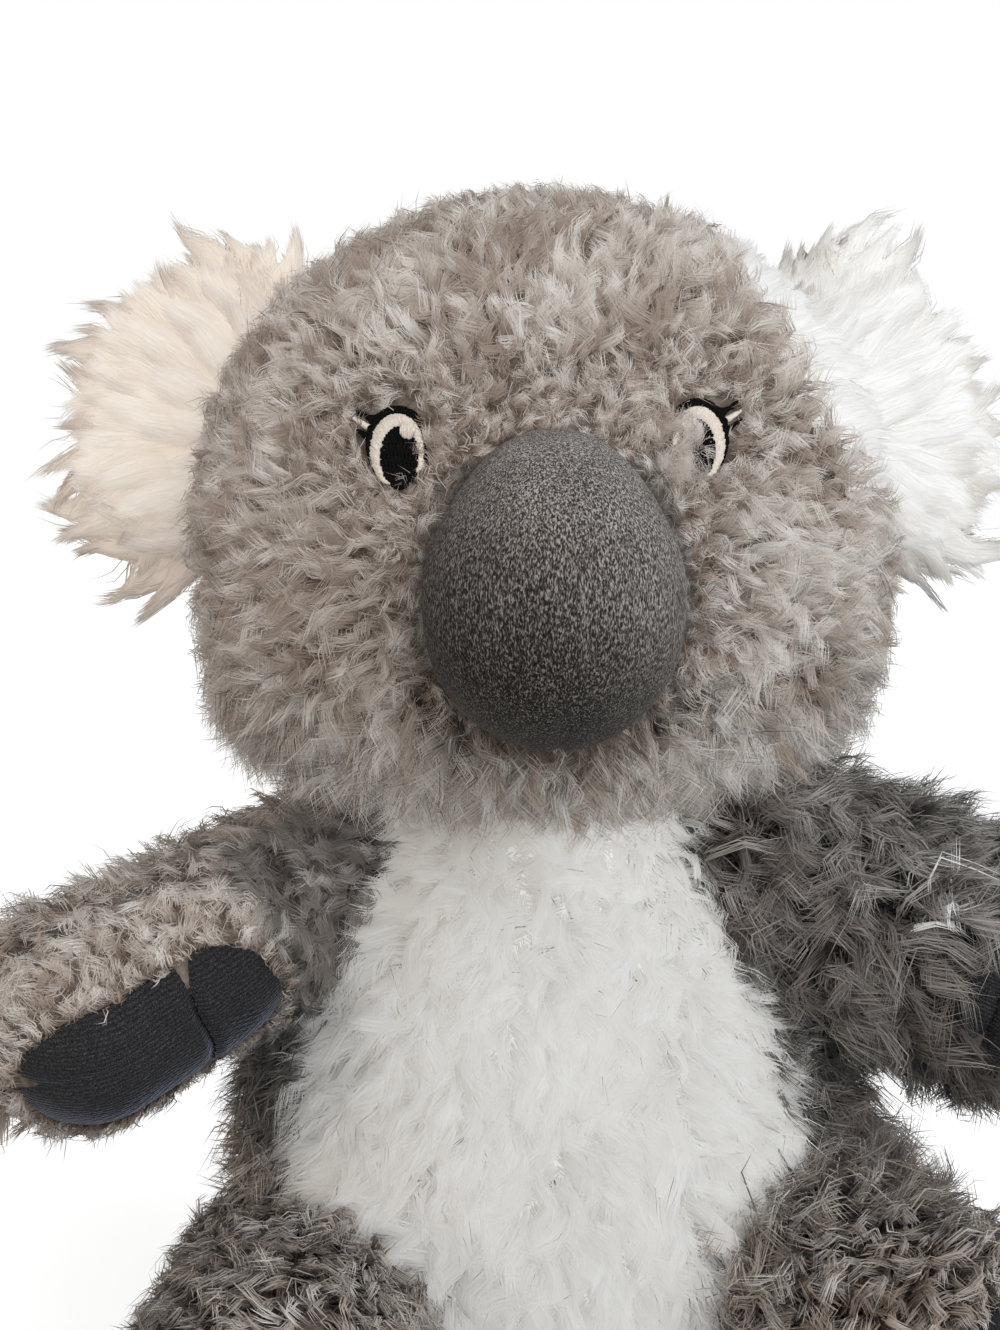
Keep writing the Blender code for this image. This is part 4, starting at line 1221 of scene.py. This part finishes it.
def fuzz_region(p, n):
    zone = face_zone(p)
    far = np.hypot((p[:, 0] - 0.0008) / NOSE_HALF[0], (p[:, 2] - NOSE_AT[2]) / NOSE_HALF[2])
    keep = smooth(zone * 1.6) * (far > 0.94)
    flow = outward(p, n)
    for name, side in SIDES:
        x, z = eye_place(p, name, side)
        e = np.hypot(x / EYE_HALF[0], z / EYE_HALF[1])
        keep = np.where(e < 1.14 + 0.26 * (z > 0) * (x > -0.005), 0.0, keep)
        # nothing grows through the lashes
        horn = (x > 0.0030) & (x < 0.0085) & (z > 0.0030 + 0.18 * (x - 0.003)) & (z < 0.0085)
        keep = np.where(horn, 0.0, keep)
        near = smooth((2.0 - e) / 0.8)[:, None]
        out = np.stack((side * x, np.zeros(len(p)), z), -1)
        flow = flow * (1 - near) + unit(out) * near
    swirl = np.radians(60) * swell(p, 0.010, 7) + np.radians(40) * swell(p, 0.004, 8)
    fold = np.exp(-((crease(p) / 0.0020) ** 2))
    flow = turn(lay(flow, n), n, swirl)
    # frost is far darker in the fold beside the left eye: painted shade
    return base(
        p, keep=keep * (crease(p) > 0.0011), length=0.0046 * (1 - 0.5 * fold) * (1 - 0.50 * smooth((1.10 - far) / 0.06)), mottle=0.38, edge=0.60, flow=flow, lean0=48.0, lean1=80.0, curl=34.0, sway=0.18, stray=45.0,
        draw=0.45, loose=0.25, frizz=0.13, frost=0.58 + 0.18 * swell(p, 0.007, 9) + 0.14 * swell(p, 0.018, 11) - 0.55 * fold, width=0.00015,
    )


def over_eyes(p, n):
    """The fibres that come up through the lower edge of an eye, and half bury the left one."""
    keep = np.zeros(len(p))
    flow = np.broadcast_to((0.0, 0.0, 1.0), p.shape).copy()
    for name, side in SIDES:
        x, z = eye_place(p, name, side)
        e = np.hypot(x / EYE_HALF[0], z / EYE_HALF[1])
        if name == "right":
            keep = np.where((e > 0.95) & (e < 1.25) & (z < -0.0048) & (np.abs(x + 0.0006) > 0.0026), 0.35, keep)
        else:
            keep = np.where((e > 0.95) & (e < 1.25) & (z < -0.0045), 0.7, keep)
            buried = ((x + 0.0042) / 0.0052) ** 2 + ((z + 0.0014) / 0.0066) ** 2
            keep = np.where(buried < 1, 0.50 + 0.50 * smooth((1 - buried) / 0.4), keep)
    flow[:, 0] = 0.9
    keep = np.where(p[:, 1] < -0.02, keep, 0.0)
    flow = turn(lay(flow, n), n, np.radians(50) * swell(p, 0.006, 10))
    return base(
        p, keep=keep, length=0.0042, flow=flow, lean0=38.0, lean1=80.0, curl=30.0, sway=0.16, stray=45.0,
        draw=0.3, loose=0.4, frizz=0.14, frost=0.62, width=0.00015,
    )


def face_part(c):
    a = np.degrees(np.arctan2(c[:, 2] - 0.215, c[:, 0]))
    return np.select([
        (a > 58) & (a <= 92), (a > 92) & (a < 126), (a <= 58) & (a > 4), (a <= 4) & (a > -52), (a <= -52) & (a > -128),
        (a <= -128) | (a > 174),
    ], [0, 1, 2, 3, 4, 5], 6)


pile(
    "face_pile", face, 150000, head_region, GREY_PILE, "head", 101, gap=0.0027, width=0.00022,
    parts=((
        "left_brow_pile", "right_brow_pile", "left_temple_pile", "left_cheek_pile", "chin_pile", "right_cheek_pile",
        "right_temple_pile",
    ), face_part),
)


def nose_far(p):
    """1 on the outline of the nose, growing outwards."""
    return np.hypot((p[:, 0] - 0.0008) / NOSE_HALF[0], (p[:, 2] - NOSE_AT[2]) / NOSE_HALF[2])


def nose_rim(c):
    """1 for the locks round the sides and bottom of the nose, dyed dark as painted shadow in the seam."""
    return ((nose_far(c) < 1.075) & (c[:, 2] < 0.234)).astype(int)


# the locks round the nose's rim are grown in the painted shadow pile
for names, finish in ((("muzzle_fuzz", "spare"), GREY_PILE), (("spare", "nose_seam_painted_shadow_fuzz"), PAINTED_SHADOW_PILE)):
    pile("muzzle_fuzz", face, 240000, fuzz_region, finish, "head", 107, gap=0.0019, segments=3, parts=(names, nose_rim))


def patch_region(p, n):
    flow = unit(p - np.array((0.0, -0.070, 0.232))) * (1.0, 0.6, 1.0)
    return base(
        p, keep=0.80 * ear_patch(p) * (~in_head(p, -0.004)), length=0.0130, flow=turn(lay(flow, n), n, np.radians(12) * swell(p, 0.014, 13)),
        lean0=58.0, lean1=86.0, curl=8.0, sway=0.04, stray=6.0, draw=0.15, loose=0.1, frizz=0.025, frost=0.88, mottle=0.06, edge=0.0,
    )


pile(
    "left_ear_base_pile", face, 120000, patch_region, SNOW_PILE, "head", 109, gap=0.0045, segments=3,
    width=0.00030, soft=0.6, parts=(("left_ear_base_pile", "spare"), lambda c: (c[:, 0] < 0).astype(int)),
)
pile(
    "right_ear_base_pile", face, 120000, patch_region, WARM_LIT_CREAM_PILE, "head", 109, gap=0.0045, segments=3,
    width=0.00030, soft=0.6, parts=(("right_ear_base_pile", "spare"), lambda c: (c[:, 0] > 0).astype(int)),
)
pile("eye_fuzz", face, 240000, over_eyes, GREY_PILE, "head", 108, gap=0.0019, segments=3, crowd=5)
pile(
    "head_back_pile", crown, 40000, head_region, GREY_PILE, "head", 102, width=0.00044, segments=3,
    parts=(("left_head_back_pile", "right_head_back_pile"), lambda c: (c[:, 0] < 0).astype(int)),
)


def neck_region(p, n):
    return base(p, flow=np.broadcast_to((0.0, 0.0, -1.0), p.shape), length=0.006, frost=0.3, keep=(p[:, 2] > 0.158).astype(float))


pile("neck_pile", neck, 2500, neck_region, GREY_PILE, "neck", 103)


def belly_region(p, n):
    down = np.array((0.0, 0.0, -1.0)) + unit(p * (1, 1, 0)) * 0.1
    spread = p * np.array((9.0, 0.0, 0.0))
    flow = turn(lay(down + spread, n), n, np.radians(34) * swell(p, 0.026, 15) + np.radians(18) * swell(p, 0.011, 16))
    keep = (~in_limbs(p, -0.0005)).astype(float)
    top = smooth((p[:, 2] - 0.130) / 0.02)
    length = 0.0140 - 0.004 * top
    return base(
        p, flow=flow, keep=keep, length=length, lean0=24.0, lean1=84.0, curl=18.0, sway=0.12,
        frost=0.5 + 0.2 * swell(p, 0.03, 17), stray=20.0, draw=0.55, frizz=0.05, loose=0.12,
    )


pile(
    "belly_pile", belly, 62000, belly_region, WHITE_PILE, "torso", 104, gap=0.0036, width=0.00028, soft=0.7, segments=3,
    parts=(("left_belly_pile", "right_belly_pile"), lambda c: (c[:, 0] < 0).astype(int)),
)


def body_region(p, n):
    down = np.broadcast_to((0.0, 0.0, -1.0), p.shape)
    flow = turn(lay(down + unit(p * (1, 1, 0)) * 0.2, n), n, np.radians(34) * swell(p, 0.030, 25) + np.radians(18) * swell(p, 0.012, 26))
    keep = (~in_limbs(p, -0.0005)).astype(float)
    flank = smooth((np.abs(n[:, 0]) - 0.45) / 0.4) * smooth((p[:, 2] - 0.045) / 0.03) * smooth((0.135 - p[:, 2]) / 0.02)
    # the pile over the left hip stands up in a thick ruff, and that high on the front beside the white chest is dyed
    # darker as painted shadow
    hip = smooth((p[:, 0] - 0.030) / 0.020) * smooth((0.100 - p[:, 2]) / 0.030) * smooth((p[:, 2] - 0.030) / 0.02)
    bib_painted_shadow = smooth((p[:, 2] - 0.090) / 0.02) * smooth((0.02 - p[:, 1]) / 0.02)
    return base(
        p, flow=flow, keep=keep, length=0.0120 + 0.0050 * flank + 0.0140 * hip, lean0=14 + 4 * flank, lean1=82 - 22 * flank - 34 * hip,
        frost=0.34 + 0.16 * swell(p, 0.025, 27) - 0.16 * bib_painted_shadow, silver=0.07,
    )


def body_part(c):
    """Left, right, and the strip beside the white chest, dyed dark as painted shade of the arms."""
    return np.where((c[:, 2] > 0.088) & (c[:, 1] < 0.012), 2, (c[:, 0] < 0).astype(int))


for names, finish in ((("left_body_pile", "right_body_pile", "spare"), GREY_PILE), (("spare", "spare", "body_painted_shadow_pile"), PAINTED_SHADOW_PILE)):
    pile(
        "body_pile", back, 52000, body_region, finish, "torso", 105, width=0.00036, segments=3, shade_cast=True,
        parts=(names, body_part),
    )


def seat_region(p, n):
    out = p * (1, 1, 0)
    keep = ((p[:, 2] > 0.0012) & ~in_limbs(p, -0.0005)).astype(float)
    return base(p, flow=out + (0, 0, -0.02), keep=keep, length=0.009, frost=0.3, lean0=30.0, lean1=80.0)


pile("seat_pile", seat, 11000, seat_region, GREY_PILE, "torso", 106, width=0.00044, segments=3)


def ear_region(name, side, front):
    def region(p, n):
        base_at = np.array((side * 0.050, 0.0, 0.236))
        away = (p - base_at) * (1.0, 0.3, 1.0)
        q = to_local(ear_frame(side), p)
        rx, rz = (q[:, 0] - side * EAR_IN[name]) / EAR_SMALL[name][0], q[:, 2] / EAR_SMALL[name][2]
        far = np.hypot(rx, rz)
        rim = smooth((far - 0.45) / 0.50)
        flow = turn(lay(away, n), n, np.radians(10) * swell(p, 0.018, 41 + side))
        keep = (~in_head(p, 0.0005)).astype(float)
        at = np.arctan2(q[:, 2], side * q[:, 0])
        if name == "right":
            edge = 0.0056 - 0.0016 * near_angle(at, 55, 28)
        else:
            edge = 0.0056 - 0.0010 * near_angle(at, 0, 45)
        if front:
            length = 0.0150 * (1 - rim) + rim * (edge + 0.0016 * swell(p, 0.011, 44 + side))
            return base(
                p, flow=flow, keep=keep, length=length, lean0=52.0 - 14 * rim, lean1=88.0 - 12 * rim, curl=6 + 8 * rim,
                sway=0.03 + 0.06 * rim, stray=4 + 12 * rim, draw=0.12 + 0.78 * rim, loose=0.12, frizz=0.02 + 0.03 * rim,
                frost=0.96 - 0.55 * rim, mottle=0.05 + 0.10 * rim,
            )
        return base(
            p, flow=flow, keep=keep, length=0.0100 * (1 - rim) + (edge + 0.0010) * rim, lean0=30.0, lean1=80.0, curl=12.0, sway=0.08,
            draw=0.6 + 0.3 * rim, frost=0.52 + 0.45 * rim,
        )
    return region


def fringe_region(name, side):
    """The long pointed locks that stand round the edge of an ear."""
    def region(p, n):
        away = (p - np.array((side * 0.050, 0.0, 0.240))) * (1.0, 0.2, 1.0)
        q = to_local(ear_frame(side), p)
        far = np.hypot((q[:, 0] - side * EAR_IN[name]) / EAR_SMALL[name][0], q[:, 2] / EAR_SMALL[name][2])
        at = np.arctan2(q[:, 2], side * q[:, 0])
        if name == "right":
            edge = 0.0190 + 0.0030 * near_angle(at, 10, 12) - 0.0115 * near_angle(at, 78, 15) - 0.0020 * near_angle(at, 48, 15) + 0.0040 * near_angle(at, 117, 15)
        else:
            edge = 0.0150 + 0.0050 * near_angle(at, -75, 28) - 0.0030 * near_angle(at, 28, 10)
        keep = (far > 0.66) & ~in_head(p, 0.0005)
        flow = turn(lay(away, n), n, np.radians(14) * swell(p, 0.030, 47 + side))
        return base(
            p, flow=flow, keep=keep.astype(float), length=edge * (0.55 + 0.45 * smooth((far - 0.60) / 0.30)), lean0=62.0, lean1=84.0, curl=12.0, sway=0.07,
            stray=17.0, draw=0.95, loose=0.05, frizz=0.022, frost=0.50, mottle=0.20, edge=0.40,
        )
    return region


for name, side in SIDES:
    pile(
        name + "_ear_front_pile", ears[name, "front"], 28000, ear_region(name, side, True),
        WARM_LIT_CREAM_PILE if side < 0 else SNOW_PILE, name + "_ear", 110 + side, gap=0.0050,
        width=0.00027, soft=0.75,
    )
    pile(
        name + "_ear_fringe", ears[name, "front"], 13000, fringe_region(name, side),
        WARM_LIT_CREAM_PILE if side < 0 else SNOW_PILE, name + "_ear", 116 + side, gap=0.0100,
        width=0.00028, soft=0.6,
    )
    pile(
        name + "_ear_back_pile", ears[name, "back"], 8000, ear_region(name, side, False), GREY_PILE,
        name + "_ear", 120 + side, gap=0.0036, width=0.00044, segments=3,
    )


def arm_region(name):
    fr = ARM_FRAMES[name]

    def region(p, n):
        q = to_local(fr, p)
        along = np.broadcast_to(fr[1][:, 2], p.shape)
        ends = PAD_T[name]
        near = np.clip(q[:, 2], *ends)
        off = np.stack((q[:, 0], np.zeros(len(q)), q[:, 2] - near), -1)
        gone = np.where(q[:, 1] < 0.002, np.linalg.norm(off, axis=1) - PAD_R, 0.05)
        keep = ((gone > -0.0004) & ~in_body(p, -0.0005)).astype(float)
        round_pad = smooth((0.010 - gone) / 0.010)[:, None]
        length = 0.0048 + 0.0068 * smooth((gone - 0.0005) / 0.012)
        if name == "left":
            # the fur of the upper arm falls over the near end of this pad
            over = smooth((ends[0] + 0.004 - q[:, 2]) / 0.006)
            over = np.maximum(over, smooth(np.abs((off @ fr[1].T)[:, 2]) / 0.010) * smooth((ends[1] - 0.004 - q[:, 2]) / 0.012))[:, None]
            round_pad = round_pad * (1 - over)
            length = length * (1 - over[:, 0]) + (0.0170 + 0.0030 * smooth(p[:, 2] * 20 - 2.0)) * over[:, 0]
            lean = 40.0 * over[:, 0] * (gone < 0.008)
        else:
            lean = 0.0
        flow = along + np.array((0, 0, -0.25 if name == "right" else -0.7))
        # the right arm's crook beside the chest is dyed darker as painted shadow
        crook_painted_shadow = 0.42 * smooth((0.036 - q[:, 2]) / 0.014) * smooth((0.01 - p[:, 1]) / 0.01) * (name == "right")
        flow = flow * (1 - round_pad) + (off @ fr[1].T) * 120 * round_pad
        flow = turn(lay(flow, n), n, np.radians(36) * swell(p, 0.026, 51) + np.radians(18) * swell(p, 0.011, 52))
        # the left arm's frost is low and rises where its pile faces up: painted shade and painted top light
        return base(
            p, flow=flow, keep=keep, length=length, lean0=14 + 26 * round_pad[:, 0] + lean, frizz=0.055 + 0.08 * round_pad[:, 0],
            draw=0.66 - 0.25 * round_pad[:, 0], frost=(0.48 if name == "right" else 0.24 + 0.36 * smooth(n[:, 2] * 1.2)) + 0.16 * swell(p, 0.02, 53) + 0.10 * round_pad[:, 0] - crook_painted_shadow, silver=0.08,
        )
    return region


def leg_region(name):
    fr = LEG_FRAMES[name]

    def region(p, n):
        q = to_local(fr, p)
        along = np.broadcast_to(fr[1][:, 2], p.shape)
        flow = along * 0.5 + unit(p - fr[0]) * 0.4 + np.array((0, 0, 0.10))
        flow = turn(lay(flow, n), n, np.radians(40) * swell(p, 0.028, 61) + np.radians(20) * swell(p, 0.012, 62))
        keep = (~in_body(p, -0.0005)).astype(float)
        edge = smooth((SOLE_T - q[:, 2]) / 0.010)
        ruff = smooth((n[:, 2] - 0.10) / 0.50) * smooth((0.040 - q[:, 2]) / 0.03) * (name == "left")
        return base(
            p, flow=flow, keep=keep, length=0.0060 + 0.0064 * edge + 0.0120 * ruff, lean1=82 - 40 * ruff,
            frost=0.42 + 0.16 * swell(p, 0.02, 63), silver=0.09,
        )
    return region


for name, side in SIDES:
    at, along = Vector(ARM_FRAMES[name][0]), Vector(ARM_FRAMES[name][1][:, 2])
    for panel, count in (("inner", 21000), ("outer", 18000)):
        whole = f"{name}_arm_{panel}_pile"

        def crook(c, name=name, panel=panel):
            t = to_local(ARM_FRAMES[name], c)[:, 2]
            return ((t < 0.030) & (c[:, 1] < -0.006) & (panel == "inner")).astype(int)

        # the crook of the right arm's inner panel, and all of the left arm, are grown in the painted shadow pile
        shares = ((whole, "spare"), GREY_PILE), (("spare", f"{name}_arm_crook_painted_shadow_pile"), PAINTED_SHADOW_PILE)
        if name == "left":
            shares = (((whole, f"{name}_arm_crook_painted_shadow_pile"), PAINTED_SHADOW_PILE),)
        for names, finish in shares:
            if panel == "outer" and names[0] == "spare":
                continue
            pile(
                whole, arms[name, panel], count, arm_region(name), finish, name + "_arm",
                130 + side + 4 * (panel == "outer"), width=0.00027, segments=4, shade_cast=name == "left",
                bend=(at - 0.006 * along, at + 0.020 * along), parts=(names, crook),
            )
    at, along = Vector(LEG_FRAMES[name][0]), Vector(LEG_FRAMES[name][1][:, 2])
    pile(
        name + "_leg_pile", legs[name], 28500, leg_region(name), GREY_PILE, name + "_leg", 140 + side,
        width=0.00034, segments=4, shade_cast=True, bend=(at + 0.002 * along, at + 0.034 * along),
    )



def white_hair_region(p, n):
    near = np.linalg.norm(p - np.array((0.0805, -0.0300, 0.1370)), axis=1) < 0.0052
    flow = np.broadcast_to((0.75, 0.0, -0.65), p.shape)
    return base(
        p, keep=near.astype(float), flow=flow, length=0.0190, lean0=18.0, lean1=74.0, curl=40.0, sway=0.20, stray=36.0,
        draw=0.93, loose=0.05, frizz=0.02, frost=0.97, mottle=0.0, edge=0.0,
    )


pile("left_paw_white_hairs", arms["left", "inner"], 9000, white_hair_region, SNOW_PILE, "left_arm", 150, gap=0.0036, width=0.00032, segments=5)

# ------------------------------------------------- pieces carried over as they are
CARRIED = {"back_closing_stitch": GREY_THREAD}
for node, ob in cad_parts.items():
    if node.endswith("stuffing"):
        CARRIED[node] = STUFFING
for node, finish in CARRIED.items():
    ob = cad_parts[node]
    if ob.hide_render:
        continue
    if not ob.material_slots:
        ob.data.materials.append(finish)
    for slot in ob.material_slots:
        slot.material = finish

# ------------------------------------------------------------- floor and light
bm = bmesh.new()
bmesh.ops.create_circle(bm, cap_ends=True, radius=3.0, segments=96)
mesh = bpy.data.meshes.new("floor")
bm.to_mesh(mesh)
bm.free()
floor_finish, nodes, links, shader = new_material("floor")
noise = nodes.new("ShaderNodeTexNoise")
noise.inputs["Scale"].default_value = 30.0
links.new(nodes.new("ShaderNodeTexCoord").outputs["Object"], noise.inputs["Vector"])
links.new(ramp(nodes, links, noise.outputs["Fac"], ((0.3, (0.90, 0.90, 0.895)), (0.7, (0.92, 0.92, 0.915)))), shader.inputs["Base Color"])
settings(shader, Roughness=0.9, Emission_Strength=0.55, Emission_Color=(1.0, 1.0, 1.0))
floor = make_object("floor", mesh, floor_finish)

floor.visible_diffuse = False

# The studio is white to look at. Its light comes mostly from overhead.
world = bpy.data.worlds.new("studio")
world.use_nodes = True
nodes, links = world.node_tree.nodes, world.node_tree.links
background = nodes["Background"]
height = nodes.new("ShaderNodeSeparateXYZ")
links.new(nodes.new("ShaderNodeTexCoord").outputs["Generated"], height.inputs[0])
sky = ramp(nodes, links, maths(nodes, links, "ADD", maths(nodes, links, "MULTIPLY", height.outputs[2], 0.5), 0.5), (
    (0.00, (0.09, 0.085, 0.08)), (0.45, (0.19, 0.187, 0.183)), (0.60, (0.28, 0.28, 0.28)), (1.00, (0.36, 0.365, 0.375)),
))
seen = nodes.new("ShaderNodeLightPath").outputs["Is Camera Ray"]
links.new(blend_colour(nodes, links, "MIX", seen, sky, (1.0, 1.0, 1.0)), background.inputs["Color"])
background.inputs["Strength"].default_value = 1.0
scene.world = world
scene.view_settings.view_transform = "Standard"


def lamp(name, kind, at, target, size, power, colour):
    light = bpy.data.lights.new(name, kind)
    if kind == "AREA":
        light.shape = "DISK"
        light.size = size
    elif kind == "SPOT":
        light.spot_size, light.spot_blend, light.shadow_soft_size = size, 1.0, 0.06
    else:
        light.angle = size
    light.energy = power
    light.color = colour
    ob = bpy.data.objects.new(name, light)
    ob.location = at
    ob.rotation_euler = (Vector(target) - Vector(at)).to_track_quat("-Z", "Y").to_euler()
    scene.collection.objects.link(ob)
    return ob


lamp("key", "SUN", (0.80, -1.05, 0.95), (0, 0, 0.15), math.radians(50), 1.68, (0.98, 0.99, 1.0))
lamp("front", "AREA", (0.10, -1.10, 0.10), (0, 0, 0.17), 0.60, 2.6, (0.98, 0.99, 1.0))
lamp("side", "AREA", (-1.0, -0.45, 0.30), (0, 0, 0.18), 0.60, 2.3, (1.0, 0.86, 0.74))
lamp("back", "SUN", (0.30, 1.00, 0.55), (0, 0, 0.15), math.radians(60), 0.75, (0.98, 0.99, 1.0))
lamp("left ear", "SPOT", (0.34, -0.62, 0.44), (0.092, 0, 0.243), math.radians(19), 1.5, (0.98, 0.99, 1.0))
lamp("right ear", "SPOT", (-0.34, -0.62, 0.40), (-0.092, 0, 0.238), math.radians(16), 1.0, (1.0, 0.98, 0.96))
